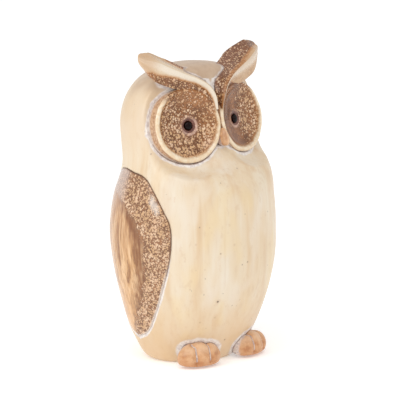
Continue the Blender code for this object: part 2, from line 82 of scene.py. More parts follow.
FACE_DROP, SIDE_DROP = 3.4, 3.5      # the face lies this far behind the rims, and this much further on their outer sides
DISH_LOW = {1: 22.7, -1: 24.4}       # the left dish is a little shorter below its middle
TUFT = (
    ((1.9, -26.8, 163.4), (1.2, -20.6, 167.6), (2.8, -20.0, 164.4), (5.4, -24.4, 163.2)),
    ((3.4, -27.0, 171.0), (2.2, -18.4, 176.6), (4.8, -18.4, 171.0), (7.8, -22.8, 168.2)),
    ((7.8, -25.2, 178.4), (6.2, -13.6, 184.8), (9.6, -16.4, 176.6), (11.8, -20.6, 172.2)),
    ((14.8, -22.8, 183.4), (13.4, -8.0, 189.2), (16.4, -13.6, 180.6), (16.8, -18.9, 174.6)),
    ((23.8, -19.4, 187.4), (22.4, -5.0, 193.4), (24.6, -11.2, 182.4), (23.8, -17.4, 175.8)),
    ((32.6, -16.2, 191.2), (31.0, -4.2, 197.0), (33.4, -7.6, 182.6), (33.4, -13.8, 178.8)),
    ((40.4, -13.4, 195.2), (38.8, -4.0, 200.4), (41.0, -5.8, 185.6), (41.6, -12.4, 183.0)),
    ((46.4, -10.0, 197.4), (44.6, -3.2, 201.8), (46.0, -4.6, 190.0), (46.8, -10.8, 189.2)),
)
TUFT_TIP = (50.8, -6.6, 196.6)
TUFT_EDGE = (1.2, 2.0, 2.5, 2.8, 3.0, 3.2, 3.4, 3.0)
WING = (
    (16.5, -9.0, -5.0), (18.6, -19.0, 3.4), (24.6, -32.0, 13.5), (32.8, -42.0, 19.5), (44.4, -50.0, 25.5),
    (56.3, -56.0, 30.0), (66.4, -59.5, 33.3), (77.5, -61.5, 36.0), (88.4, -61.5, 36.6), (96.0, -60.0, 35.0),
    (102.7, -57.5, 31.0), (108.9, -54.0, 26.7), (116.3, -47.5, 19.2), (122.2, -38.5, 10.9), (125.4, -29.0, 0.0),
    (126.4, -19.0, -11.0),
)
WING_RISE, WING_BACK = 0.9, 2.9
ACROSS = math.pi / 180 * 50.0      # millimetres to a degree round the pot
BEAK = (0.0, -28.6, 144.6)
BEAK_HALF = (3.0, 5.6, 6.6)
FOOT = (22.2, -30.4, 1.6)
FOOT_HALF = (15.0, 9.2)
FOOT_SPLAY = 14.0
FOOT_PROFILE = ((.80, 0), (.92, .8), (.985, 2.5), (1, 4.6), (.96, 7.2), (.84, 10), (.63, 12.4), (.34, 13.8), (0, 14.2))
TOE_GROOVES = (-0.33, 0.36)
SLAB_THICK, VENT_R = 5.0, 8.0
PINHOLES = (
    (-19, -44.6, 44, .75), (-10, -50.6, 80.5, .5), (-20, -48.3, 75.9, .42), (-34.6, -41, 82.7, .4), (-18.2, -41, 32.8, .45),
    (-26.5, -36, 30.1, .42), (-26.6, -45.2, 93, .35), (.4, -51.6, 68.1, .42), (-36.3, -37.3, 53.4, .38), (-2.5, -47.5, 43.1, .35),
    (-4.4, -35.7, 15, .5), (-29.6, -43.9, 66.3, .3), (-40.1, -36.8, 71.9, .35),
)


# ---------------------------------------------------------------- curves and surfaces
def through(points, count, closed=False):
    """count points on a smooth centripetal Catmull-Rom curve through the given ones, ends included."""
    p = np.array(points, float)
    ring = np.vstack([p[-1], p, p[0], p[1]]) if closed else np.vstack([2 * p[0] - p[1], p, 2 * p[-1] - p[-2]])
    step = np.maximum(np.sqrt(np.linalg.norm(np.diff(ring, axis=0), axis=1)), 1e-6)
    knot = np.concatenate([[0], np.cumsum(step)])
    at = np.linspace(knot[1], knot[len(ring) - 2], count, endpoint=not closed)
    i = np.clip(np.searchsorted(knot, at, side="right") - 1, 1, len(ring) - 3)
    t = at[:, None]
    t0, t1, t2, t3 = (knot[i + k][:, None] for k in (-1, 0, 1, 2))
    p0, p1, p2, p3 = (ring[i + k] for k in (-1, 0, 1, 2))
    a1 = (t1 - t) / (t1 - t0) * p0 + (t - t0) / (t1 - t0) * p1
    a2 = (t2 - t) / (t2 - t1) * p1 + (t - t1) / (t2 - t1) * p2
    a3 = (t3 - t) / (t3 - t2) * p2 + (t - t2) / (t3 - t2) * p3
    b1 = (t2 - t) / (t2 - t0) * a1 + (t - t0) / (t2 - t0) * a2
    b2 = (t3 - t) / (t3 - t1) * a2 + (t - t1) / (t3 - t1) * a3
    return (t2 - t) / (t2 - t1) * b1 + (t - t1) / (t2 - t1) * b2


def smooth(x, low, high):
    t = np.clip((x - low) / (high - low), 0.0, 1.0)
    return t * t * (3 - 2 * t)


def soften(values, sigma):
    """values smoothed along the first axis, its ends held."""
    reach = int(3 * sigma)
    kernel = np.exp(-0.5 * (np.arange(-reach, reach + 1) / sigma) ** 2)
    kernel /= kernel.sum()
    padded = np.concatenate([2 * values[:1] - values[reach:0:-1], values, 2 * values[-1:] - values[-2:-reach - 2:-1]])
    return np.stack([np.convolve(padded[:, k], kernel, "valid") for k in range(values.shape[1])], axis=1)


def hashed(a, b, c, seed):
    n = (a * 374761393 + b * 668265263 + c * 974634777 + seed * 1274126177) & 0xFFFFFFFF
    n = ((n ^ (n >> 13)) * 1274126177) & 0xFFFFFFFF
    n = ((n ^ (n >> 15)) * 2246822519) & 0xFFFFFFFF
    return ((n >> 8) & 0xFFFF) / 32767.5 - 1.0


def lumps(points, cell, seed):
    """Smooth noise from -1 to 1, with lumps about cell millimetres apart."""
    q = points / cell + 100.0
    i = np.floor(q).astype(np.int64)
    f = q - i
    f = f * f * f * (f * (f * 6 - 15) + 10)
    total = 0.0
    for dx in (0, 1):
        for dy in (0, 1):
            for dz in (0, 1):
                weight = ((f[..., 0] if dx else 1 - f[..., 0]) * (f[..., 1] if dy else 1 - f[..., 1])
                          * (f[..., 2] if dz else 1 - f[..., 2]))
                total = total + weight * hashed(i[..., 0] + dx, i[..., 1] + dy, i[..., 2] + dz, seed)
    return total


def section(half, around):
    """Points round one level of the pot; half is an array (..., 4), around its angles from +X."""
    z, width, front, back = half[..., 0], half[..., 1], half[..., 2], half[..., 3]
    c, s = np.cos(around), np.sin(around)
    flat = 2 / (2 + BREAST_FLAT * smooth(z, BREAST_FROM, BREAST_TO))
    power = np.where(s < 0, flat, 1.0)
    x = width * np.sign(c) * np.abs(c) ** power
    y = np.where(s < 0, front, back) * np.sign(s) * np.abs(s) ** power
    return np.stack([x, y, z + 0 * c], axis=-1)


def dish_frame(side):
    turn, pitch = math.radians(DISH_TURN), math.radians(DISH_PITCH)
    n = np.array([side * math.sin(turn) * math.cos(pitch), -math.cos(turn) * math.cos(pitch), math.sin(pitch)])
    h = np.array([math.cos(turn) * side, math.sin(turn), 0.0])
    v = np.cross(h, n) * side
    if v[2] < 0:
        v = -v
    return np.array(DISH_CENTRE) * (side, 1, 1), h, v, n


def in_dish(points, side):
    """Share of the dish's radius, angle from outwards (up positive) and height over the rim plane."""
    centre, h, v, n = dish_frame(side)
    q = points - centre
    a, b = q @ h / DISH_HALF_WIDTH, q @ v
    b = np.where(b < 0, b / DISH_LOW[side], b / DISH_HALF_HEIGHT)
    return np.hypot(a, b), np.degrees(np.arctan2(b, a)), q @ n


def below(phi):
    return smooth(np.cos(np.radians(phi + 100)), 0.2, 0.9)


def face_drop(phi):
    return FACE_DROP + SIDE_DROP * smooth(np.cos(np.radians(phi + 5)), 0.05, 0.75) - 2.9 * below(phi)


def press(points):
    p = points.copy()
    for side in (1, -1):
        along, phi, height = in_dish(p, side)
        proud = height + face_drop(phi)
        amount = 0.5 * (proud + np.sqrt(proud * proud + 4.0)) * (1 - smooth(along, 1.08 - 0.03 * below(phi), 1.56 - 0.10 * below(phi)))
        p = p - (amount * smooth(-p[..., 1], 2.0, 9.0))[..., None] * dish_frame(side)[3]
    return p


def grid_normals(grid, wrap):
    """Outward normals of a grid of rows up and columns round."""
    if wrap:
        du = np.roll(grid, -1, 1) - np.roll(grid, 1, 1)
    else:
        du = np.gradient(grid, axis=1)
    normal = np.cross(du, np.gradient(grid, axis=0))
    return normal / np.maximum(np.linalg.norm(normal, axis=-1, keepdims=True), 1e-9)


def grid_faces(rows, columns, start=0, wrap=True):
    i = np.arange(rows - 1)[:, None] * columns
    j = np.arange(columns if wrap else columns - 1)[None, :]
    k = (j + 1) % columns
    quads = np.stack([i + j, i + k, i + columns + k, i + columns + j], axis=-1) + start
    return quads.reshape(-1, 4).tolist()


def cap(centre, first, count, turn=False):
    """Triangles from the vertex centre to a ring of count vertices from first."""
    out = []
    for j in range(count):
        a, b = first + j, first + (j + 1) % count
        out.append([centre, b, a] if turn else [centre, a, b])
    return out


def nearest(points, cloud):
    """Distance from each point to the nearest of a cloud of points."""
    tree = KDTree(len(cloud))
    for i, p in enumerate(cloud):
        tree.insert(p, i)
    tree.balance()
    return np.array([tree.find(p)[2] for p in points])


# ---------------------------------------------------------------- material kit
GAIN = {"all": 0.90}


def tone(r, g, b):
    """A colour from 0-255 display values, as linear light."""
    out = []
    for c in (r, g, b):
        c = c / 255.0
        out.append((c / 12.92 if c <= 0.04045 else ((c + 0.055) / 1.055) ** 2.4) * GAIN["all"])
    return (*[min(0.93, c) for c in out], 1.0)


class Glaze:
    """A material and short ways to add nodes to it. Coordinates are the object's, in metres."""

    def __init__(self, name):
        self.material = bpy.data.materials.new(name)
        self.material.use_nodes = True
        self.tree = self.material.node_tree
        self.shader = self.tree.nodes["Principled BSDF"]
        self.where = self.tree.nodes.new("ShaderNodeTexCoord").outputs["Object"]
        xyz = self.node("ShaderNodeSeparateXYZ")
        self.put(xyz.inputs[0], self.where)
        self.x, self.y, self.z = xyz.outputs

    def node(self, kind, **settings):
        node = self.tree.nodes.new(kind)
        for key, value in settings.items():
            setattr(node, key, value)
        return node

    def put(self, socket, value):
        if isinstance(value, bpy.types.NodeSocket):
            self.tree.links.new(value, socket)
        else:
            socket.default_value = value

    def math(self, operation, a, b=0.0, c=0.0, clamp=False):
        node = self.node("ShaderNodeMath", operation=operation, use_clamp=clamp)
        for socket, value in zip(node.inputs, (a, b, c)):
            self.put(socket, value)
        return node.outputs[0]

    def add(self, a, b): return self.math("ADD", a, b)
    def sub(self, a, b): return self.math("SUBTRACT", a, b)
    def mul(self, *values):
        out = values[0]
        for value in values[1:]:
            out = self.math("MULTIPLY", out, value)
        return out
    def most(self, a, b): return self.math("MAXIMUM", a, b)
    def least(self, a, b): return self.math("MINIMUM", a, b)

    def step(self, value, low, high, out_low=0.0, out_high=1.0):
        node = self.node("ShaderNodeMapRange", interpolation_type="SMOOTHSTEP")
        for socket, v in zip(node.inputs, (value, low, high, out_low, out_high)):
            self.put(socket, v)
        return node.outputs[0]

    def mix(self, share, a, b):
        node = self.node("ShaderNodeMix", data_type="RGBA")
        self.put(node.inputs[0], share)
        self.put(node.inputs[6], a)
        self.put(node.inputs[7], b)
        return node.outputs[2]

    def stretched(self, by=(1, 1, 1), shift=(0, 0, 0), of=None):
        node = self.node("ShaderNodeMapping")
        self.put(node.inputs["Vector"], of if of is not None else self.where)
        node.inputs["Scale"].default_value = by
        node.inputs["Location"].default_value = shift
        return node.outputs[0]

    def noise(self, cell, detail=3.0, rough=0.5, by=(1, 1, 1), shift=(0, 0, 0), distortion=0.0, colour=False):
        node = self.node("ShaderNodeTexNoise")
        self.put(node.inputs["Vector"], self.stretched(by, shift))
        node.inputs["Scale"].default_value = 1000.0 / cell
        node.inputs["Detail"].default_value = detail
        node.inputs["Roughness"].default_value = rough
        node.inputs["Distortion"].default_value = distortion
        return node.outputs["Color" if colour else "Fac"]

    def warped(self, cell, amount, shift=(0, 0, 0)):
        """The coordinates, pushed about by amount millimetres."""
        push = self.node("ShaderNodeVectorMath", operation="MULTIPLY_ADD")
        self.put(push.inputs[0], self.noise(cell, 2.0, shift=shift, colour=True))
        push.inputs[1].default_value = (2 * amount * MM,) * 3
        self.put(push.inputs[2], self.where)
        return push.outputs[0]

    def cells(self, cell, of, randomness=1.0, by=(1, 1, 1)):
        node = self.node("ShaderNodeTexVoronoi")
        self.put(node.inputs["Vector"], self.stretched(by, of=of))
        node.inputs["Scale"].default_value = 1000.0 / cell
        node.inputs["Randomness"].default_value = randomness
        split = self.node("ShaderNodeSeparateColor")
        self.put(split.inputs[0], node.outputs["Color"])
        return node.outputs["Distance"], split.outputs[0], split.outputs[1]

    def attribute(self, name):
        return self.node("ShaderNodeAttribute", attribute_name=name).outputs["Fac"]

    def near(self, point):
        node = self.node("ShaderNodeVectorMath", operation="DISTANCE")
        self.put(node.inputs[0], self.where)
        node.inputs[1].default_value = [c * MM for c in point]
        return node.outputs["Value"]

    def bump(self, height, depth_mm, strength=1.0, over=None):
        node = self.node("ShaderNodeBump")
        node.inputs["Strength"].default_value = strength
        node.inputs["Distance"].default_value = depth_mm * MM
        self.put(node.inputs["Height"], height)
        if over is not None:
            self.put(node.inputs["Normal"], over)
        return node.outputs[0]

    def finish(self, colour, rough, normal=None, coat=0.0, coat_rough=0.08, specular=0.5):
        s = self.shader.inputs
        self.put(s["Base Color"], colour)
        self.put(s["Roughness"], rough)
        if normal is not None:
            self.put(s["Normal"], normal)
        s["Specular IOR Level"].default_value = specular
        s["Coat Weight"].default_value = coat
        s["Coat Roughness"].default_value = coat_rough
        s["Coat IOR"].default_value = 1.5
        return self.material


def crystals(g, density, grain=1.0):
    """Cream crystals on brown glaze: shares of crystal, of the dark line round each, and their height."""
    space = g.warped(1.3, 0.42)
    far, size, pick = g.cells(1.72 * grain, space)
    size = g.mul(density, g.add(0.17, g.mul(size, 0.30)))
    big = g.step(far, g.add(size, 0.09), g.sub(size, 0.05))
    far2, size2, _ = g.cells(1.15 * grain, g.warped(1.0, 0.30, (3, 7, 1)))
    size2 = g.mul(density, g.add(0.02, g.mul(size2, 0.40)))
    small = g.step(far2, g.add(size2, 0.13), g.sub(size2, 0.03))
    crystal = g.most(big, g.mul(small, 0.8))
    ring = g.mul(g.step(far, g.add(size, 0.40), g.add(size, 0.10)), g.sub(1.0, crystal))
    return crystal, ring, pick


def reactive(g, density, warmth=0.0, grey=0.0, grain=1.0):
    """Colour and height of the brown glaze with its crystals. warmth and grey tint it, both as shares."""
    crystal, ring, pick = crystals(g, density, grain)
    cloud = g.noise(6.5, 3.0, 0.55, shift=(11, 3, 5))
    fine = g.noise(0.9, 2.0, 0.6, shift=(2, 9, 4))
    base = g.mix(g.step(cloud, 0.36, 0.66), tone(128, 80, 44), tone(168, 112, 66))
    base = g.mix(g.mul(g.step(fine, 0.42, 0.66), 0.5), base, tone(98, 56, 30))
    base = g.mix(g.mul(ring, 0.70), base, tone(84, 46, 24))
    base = g.mix(g.mul(warmth, g.sub(1.0, g.mul(ring, 0.5))), base, tone(184, 124, 72))
    light = g.mix(pick, tone(224, 180, 142), tone(242, 210, 176))
    light = g.mix(g.step(cloud, 0.62, 0.40), light, tone(216, 172, 126))
    colour = g.mix(g.mul(crystal, 0.93), base, light)
    colour = g.mix(grey, colour, g.mix(0.42, colour, tone(176, 140, 126)))
    height = g.add(g.mul(crystal, 0.7), g.mul(fine, 0.25))
    return colour, height, crystal


def cream_glaze():
    g = Glaze("cream_glaze")
    broad = g.noise(19.0, 2.0, 0.5, by=(1, 1, 0.2))
    band = g.noise(9.5, 3.0, 0.5, by=(1, 1, 0.10), shift=(5, 1, 2))
    fine = g.noise(2.4, 3.0, 0.55, by=(1, 1, 0.07), shift=(1, 8, 3))
    hair = g.noise(0.55, 2.0, 0.6, by=(1, 1, 0.07), shift=(6, 2, 9))
    patch = g.noise(20.0, 2.0, 0.5, by=(1, 1, 0.5), shift=(3, 3, 7))
    colour = g.mix(g.step(broad, 0.34, 0.66), tone(236, 219, 193), tone(232, 208, 174))
    colour = g.mix(g.mul(g.step(band, 0.52, 0.72), 0.72), colour, tone(224, 192, 152))
    colour = g.mix(g.mul(g.step(band, 0.48, 0.28), 0.42), colour, tone(240, 230, 214))
    colour = g.mix(g.mul(g.step(fine, 0.54, 0.76), 0.34), colour, tone(214, 182, 144))
    colour = g.mix(g.mul(g.step(fine, 0.45, 0.26), 0.20), colour, tone(243, 232, 216))
    colour = g.mix(g.mul(g.step(hair, 0.58, 0.80), 0.20), colour, tone(206, 172, 134))
    colour = g.mix(g.mul(g.step(patch, 0.53, 0.68), 0.50), colour, tone(238, 212, 164))
    colour = g.mix(g.mul(g.step(patch, 0.45, 0.31), 0.42), colour, tone(240, 229, 214))
    mottle = g.noise(4.5, 4.0, 0.65, by=(1, 1, 0.6), shift=(2, 4, 8))
    colour = g.mix(g.mul(g.step(mottle, 0.55, 0.70), 0.34), colour, tone(218, 186, 150))
    # the upper head and the crown are darker and greyer, partly the glaze's own tint and partly painted shade on the
    # top of the head; the foot of the pot is browner
    colour = g.mix(g.mul(g.step(g.z, 0.124, 0.156), 0.58), colour, tone(226, 198, 164))
    crown = g.mul(g.step(g.add(g.z, g.mul(g.sub(broad, 0.5), 0.02)), 0.170, 0.186), 0.84)
    colour = g.mix(crown, colour, g.mix(g.step(mottle, 0.28, 0.78), tone(198, 169, 142), tone(184, 153, 127)))
    low = g.mul(g.step(g.add(g.z, g.mul(g.sub(patch, 0.5), 0.03)), 0.056, 0.004), 0.74)
    colour = g.mix(low, colour, tone(226, 190, 146))
    # specks and pinholes
    far, pick, _ = g.cells(6.2, g.warped(3.0, 0.8), by=(1, 1, 0.75))
    speck = g.mul(g.step(far, 0.088, 0.035), g.step(pick, 0.36, 0.42))
    colour = g.mix(g.mul(speck, 0.62), colour, tone(146, 122, 106))
    hole = None
    for x, y, z, r in PINHOLES:
        one = g.step(g.near((x, y + SHIFT, z)), r * 1.25 * MM, r * 0.55 * MM)
        hole = one if hole is None else g.most(hole, one)
    rim = None
    for x, y, z, r in PINHOLES:
        one = g.step(g.near((x, y + SHIFT, z)), r * 3.0 * MM, r * 1.1 * MM)
        rim = one if rim is None else g.most(rim, one)
    colour = g.mix(g.mul(rim, 0.22), colour, tone(190, 150, 116))
    colour = g.mix(g.mul(hole, 0.92), colour, tone(92, 72, 60))
    # white wash left in the crevices, and the line in the bottom of them
    ragged = g.noise(2.2, 3.0, 0.6, shift=(4, 4, 4))
    wash = g.step(g.add(g.attribute("wash"), g.mul(g.sub(ragged, 0.5), 0.55)), 0.22, 0.75)
    colour = g.mix(g.mul(wash, 0.86), colour, g.mix(g.step(ragged, 0.4, 0.62), tone(252, 248, 244), tone(226, 216, 214)))
    seam = g.step(g.add(g.attribute("seam"), g.mul(g.sub(ragged, 0.5), 0.5)), 0.35, 0.85)
    colour = g.mix(g.mul(seam, 0.8), colour, tone(140, 106, 88))
    height = g.add(g.mul(band, 0.5), g.add(g.mul(fine, 0.25), g.mul(g.noise(4.0, 3.0), 0.35)))
    normal = g.bump(height, 0.55, 0.45)
    normal = g.bump(g.sub(0.0, g.add(g.mul(hole, 1.0), g.mul(speck, 0.25))), 0.5, 0.9, normal)
    rough = g.add(0.40, g.add(g.mul(g.sub(fine, 0.5), 0.18), g.mul(wash, 0.16)))
    return g.finish(colour, rough, normal, coat=0.12, coat_rough=0.22, specular=0.45)


def inside_clay():
    g = Glaze("raw_clay")
    cloud = g.noise(9.0, 4.0, 0.6)
    grain = g.noise(0.7, 3.0, 0.7, shift=(3, 1, 2))
    rings = g.noise(5.0, 2.0, 0.5, by=(0.12, 0.12, 1.0), shift=(8, 2, 1))
    colour = g.mix(g.step(cloud, 0.35, 0.65), tone(206, 160, 124), tone(188, 138, 102))
    colour = g.mix(g.mul(g.step(grain, 0.56, 0.72), 0.5), colour, tone(150, 106, 78))
    far, pick, _ = g.cells(3.4, g.where)
    colour = g.mix(g.mul(g.step(far, 0.10, 0.05), g.step(pick, 0.5, 0.55), 0.7), colour, tone(112, 78, 58))
    normal = g.bump(g.add(g.mul(grain, 0.6), rings), 0.35, 0.6)
    return g.finish(colour, g.add(0.72, g.mul(grain, 0.18)), normal, specular=0.3)


def dish_glaze():
    g = Glaze("dish_glaze")
    rho, speck, ring, up = (g.attribute(a) for a in ("rho", "speck", "ring", "tuck"))
    wobble = g.noise(3.6, 3.0, 0.55, shift=(1, 2, 3))
    edge = g.add(rho, g.add(g.mul(g.sub(wobble, 0.5), 0.075), g.mul(g.sub(g.noise(1.1, 2.0, 0.6, shift=(9, 2, 2)), 0.5), 0.05)))
    colour, height, crystal = reactive(g, g.mul(speck, g.most(up, g.step(edge, 0.93, 0.85, 0.2, 1.0))),
                                       warmth=g.mul(g.step(g.attribute("warm"), 0.3, 0.8), 0.55), grey=g.attribute("grey"))
    # purple-brown ring round the bead, with a pinkish rim
    colour = g.mix(g.mul(g.step(ring, 0.25, 0.6), 0.9), colour, g.mix(g.step(wobble, 0.4, 0.6), tone(96, 50, 42), tone(128, 82, 70)))
    colour = g.mix(g.mul(g.attribute("halo"), g.step(wobble, 0.30, 0.56), 0.80), colour, tone(214, 176, 158))
    # the rim: amber where the brown runs out, then cream
    cream = g.mix(g.step(g.noise(2.6, 3.0, 0.6), 0.4, 0.6), tone(247, 230, 202), tone(240, 214, 178))
    rim = g.mul(g.step(edge, 0.845, 0.925), g.sub(1.0, up))
    amber = g.mul(g.step(edge, 0.77, 0.885), g.sub(1.0, up))
    colour = g.mix(g.mul(amber, 0.60), colour, tone(190, 134, 80))
    colour = g.mix(g.mul(rim, 0.97), colour, cream)
    # the outer wall is tan-brown with brush marks, white wash where it meets the pot
    wall = g.attribute("wall")
    brush = g.noise(1.6, 3.0, 0.6, by=(1, 1, 1), shift=(7, 7, 7))
    skin = g.mix(g.step(brush, 0.38, 0.64), tone(214, 176, 140), tone(178, 132, 96))
    colour = g.mix(g.step(g.add(wall, g.mul(g.sub(wobble, 0.5), 0.5)), 0.22, 0.62), colour, skin)
    wash = g.step(g.add(g.attribute("wash"), g.mul(g.sub(brush, 0.5), 0.7)), 0.35, 0.8)
    colour = g.mix(g.mul(wash, 0.7), colour, tone(226, 212, 202))
    normal = g.bump(height, 0.16, 0.55)
    normal = g.bump(wobble, 0.5, 0.25, normal)
    rough = g.add(0.22, g.mul(crystal, 0.14))
    return g.finish(colour, rough, normal, coat=0.16, coat_rough=0.12, specular=0.42)


def tuft_glaze():
    g = Glaze("tuft_glaze")
    band, speck = g.attribute("band"), g.attribute("speck")
    wobble = g.noise(3.6, 3.0, 0.55, shift=(1, 2, 3))
    colour, height, crystal = reactive(g, speck, warmth=g.mul(g.step(g.attribute("warm"), 0.3, 0.8), 0.6), grey=g.attribute("grey"))
    colour = g.mix(g.mul(g.attribute("deep"), g.sub(1.0, crystal)), colour, tone(112, 66, 38))
    fleck = g.noise(1.5, 3.0, 0.6, shift=(5, 5, 1))
    streak = g.add(g.mul(g.attribute("streak"), 0.75), g.mul(fleck, 0.25))
    lip = g.add(g.attribute("lip"), g.mul(g.sub(fleck, 0.5), 0.5))
    cream = g.mix(g.step(streak, 0.34, 0.62), tone(226, 204, 174), tone(214, 178, 138))
    # painted highlight: a whitish streak along the crest of the cream roll
    cream = g.mix(g.mul(g.step(lip, -0.25, 0.25), g.step(lip, 1.25, 0.70), g.step(streak, 0.62, 0.38), 0.66), cream, tone(244, 234, 218))
    # painted shade: tan towards the roll's rear side
    cream = g.mix(g.mul(g.step(lip, -0.30, -0.95), 0.55), cream, tone(206, 166, 126))
    edge = g.add(band, g.mul(g.sub(wobble, 0.5), 0.42))
    # painted shade: tan on the cream where the roll turns down towards the brown
    cream = g.mix(g.mul(g.step(edge, 1.0, 0.62), 0.65), cream, tone(206, 156, 106))
    colour = g.mix(g.mul(g.step(edge, 0.12, 0.46), 0.78), colour, tone(186, 128, 78))
    colour = g.mix(g.step(edge, 0.48, 0.66), colour, cream)
    colour = g.mix(g.mul(g.attribute("shade"), g.step(edge, 0.34, 0.60), 0.80), colour, g.mix(g.step(wobble, 0.4, 0.62), tone(204, 164, 122), tone(184, 138, 96)))
    tip = g.mul(g.step(g.attribute("tip"), 0.15, 0.9), g.step(edge, 0.3, 0.6), 0.70)
    colour = g.mix(tip, colour, tone(208, 170, 132))
    ragged = g.noise(2.0, 3.0, 0.6, shift=(4, 4, 4))
    wash = g.step(g.add(g.attribute("wash"), g.mul(g.sub(ragged, 0.5), 0.6)), 0.4, 0.8)
    colour = g.mix(g.mul(wash, 0.7), colour, tone(226, 212, 204))
    normal = g.bump(height, 0.16, 0.55)
    normal = g.bump(g.add(wobble, g.mul(streak, 0.5)), 0.6, 0.3, normal)
    return g.finish(colour, g.add(0.23, g.mul(crystal, 0.14)), normal, coat=0.16, coat_rough=0.12, specular=0.42)


def wing_glaze():
    g = Glaze("wing_glaze")
    ahead, edge, lead = g.attribute("ahead"), g.attribute("edge"), g.attribute("lead")
    ragged = g.noise(4.2, 3.0, 0.6, by=(1, 1, 0.5), shift=(9, 4, 4))
    far = g.add(ahead, g.mul(g.sub(ragged, 0.5), 13.0))
    far = g.sub(far, g.add(g.mul(g.step(g.z, 0.108, 0.086), 2.6), g.mul(g.step(g.z, 0.034, 0.050), g.step(g.z, 0.100, 0.082), 2.4)))
    top = g.step(g.add(g.z, g.mul(g.sub(ragged, 0.5), 0.012)), 0.097, 0.113)
    dense = g.mul(g.step(far, -2.0, 5.0), g.step(g.z, 0.128, 0.110, 0.72, 1.0))
    veil = g.mul(top, g.step(g.add(lead, g.mul(g.sub(ragged, 0.5), 10.0)), 13.0, 1.0))
    colour, height, crystal = reactive(g, g.mul(dense, 1.36), grey=g.mul(veil, 0.9), grain=0.82)
    colour = g.mix(0.09, colour, tone(226, 194, 166))
    colour = g.mix(g.mul(veil, 0.56), colour, tone(220, 200, 188))
    # brushed rear: tan with brown streaks that run up and down
    streak = g.noise(2.6, 4.0, 0.62, by=(1, 1, 0.085), shift=(2, 6, 1), distortion=0.2)
    fine = g.noise(0.8, 3.0, 0.62, by=(1, 1, 0.06), shift=(8, 6, 1))
    rear = g.mix(g.step(streak, 0.36, 0.58), tone(240, 200, 154), tone(210, 160, 108))
    rear = g.mix(g.mul(g.step(streak, 0.53, 0.66), 0.85), rear, tone(136, 86, 50))
    rear = g.mix(g.mul(g.step(fine, 0.50, 0.66), 0.50), rear, tone(150, 100, 62))
    rear = g.mix(g.mul(g.step(fine, 0.46, 0.30), 0.45), rear, tone(236, 200, 158))
    rear = g.mix(g.mul(g.step(g.z, 0.062, 0.030), 0.62), rear, tone(234, 186, 136))
    rear = g.mix(g.mul(g.step(g.z, 0.070, 0.092), g.step(streak, 0.40, 0.60, 0.4, 1.0), 0.50), rear, tone(176, 128, 92))
    rear = g.mix(g.mul(g.step(g.z, 0.096, 0.114), 0.72), rear, g.mix(g.step(ragged, 0.4, 0.6), tone(206, 178, 158), tone(184, 152, 138)))
    dusk = g.mul(g.step(far, -10.0, -1.0), g.step(far, 7.0, 0.0), g.sub(1.0, top), g.step(g.z, 0.030, 0.052))
    rear = g.mix(g.mul(dusk, g.step(streak, 0.36, 0.58, 0.45, 1.0), 0.86), rear, tone(128, 76, 42))
    colour = g.mix(g.step(far, 3.0, -3.0), colour, rear)
    # painted highlight: a feathered whitish streak on the wing's upper front edge, standing for a softbox's reflection
    # in the glaze
    painted_highlight = g.step(g.add(g.attribute("painted_highlight"), g.mul(g.sub(g.noise(2.0, 4.0, 0.7, by=(1, 1, 0.4)), 0.5), 1.3)), 0.30, 1.15)
    colour = g.mix(g.mul(painted_highlight, 0.72), colour, tone(240, 228, 216))
    # white wash along the lower front edge, a dark line elsewhere
    rim = g.step(g.add(edge, g.mul(g.sub(ragged, 0.5), 1.2)), 1.5, 0.5)
    low = g.mul(rim, g.attribute("washed"))
    colour = g.mix(g.mul(low, 0.85), colour, tone(226, 213, 202))
    line = g.mul(g.step(edge, 0.75, 0.30), g.sub(1.0, g.attribute("washed")))
    colour = g.mix(g.mul(line, 0.80), colour, tone(112, 76, 56))
    normal = g.bump(height, 0.16, 0.55)
    normal = g.bump(g.add(g.mul(streak, 0.5), g.mul(fine, 0.2)), 0.35, 0.35, normal)
    normal = g.bump(g.noise(5.5, 2.0, 0.5, shift=(3, 2, 8)), 1.0, 0.30, normal)
    return g.finish(colour, g.add(0.24, g.mul(crystal, 0.12)), normal, coat=0.16, coat_rough=0.12, specular=0.42)


def bead_glaze():
    g = Glaze("bead_glaze")
    cloud = g.noise(1.6, 2.0)
    colour = g.mix(g.step(cloud, 0.4, 0.65), tone(10, 3, 3), tone(30, 9, 8))
    return g.finish(colour, g.add(0.07, g.mul(cloud, 0.05)), g.bump(cloud, 0.1, 0.2), specular=0.14)


def beak_glaze():
    g = Glaze("beak_glaze")
    cloud = g.noise(3.0, 3.0, 0.55)
    fine = g.noise(0.7, 3.0, 0.6, shift=(3, 2, 1))
    colour = g.mix(g.step(cloud, 0.36, 0.62), tone(216, 170, 128), tone(190, 138, 98))
    colour = g.mix(g.mul(g.step(fine, 0.55, 0.72), 0.5), colour, tone(156, 104, 72))
    ridge = g.attribute("ridge")
    colour = g.mix(g.mul(g.step(ridge, 0.35, 0.9), 0.55), colour, tone(240, 204, 166))
    wash = g.step(g.add(g.attribute("wash"), g.mul(g.sub(cloud, 0.5), 0.8)), 0.40, 0.80)
    colour = g.mix(g.mul(wash, 0.75), colour, tone(216, 196, 188))
    normal = g.bump(g.add(cloud, g.mul(fine, 0.3)), 0.4, 0.4)
    return g.finish(colour, g.add(0.34, g.mul(fine, 0.1)), normal, coat=0.2, coat_rough=0.15)


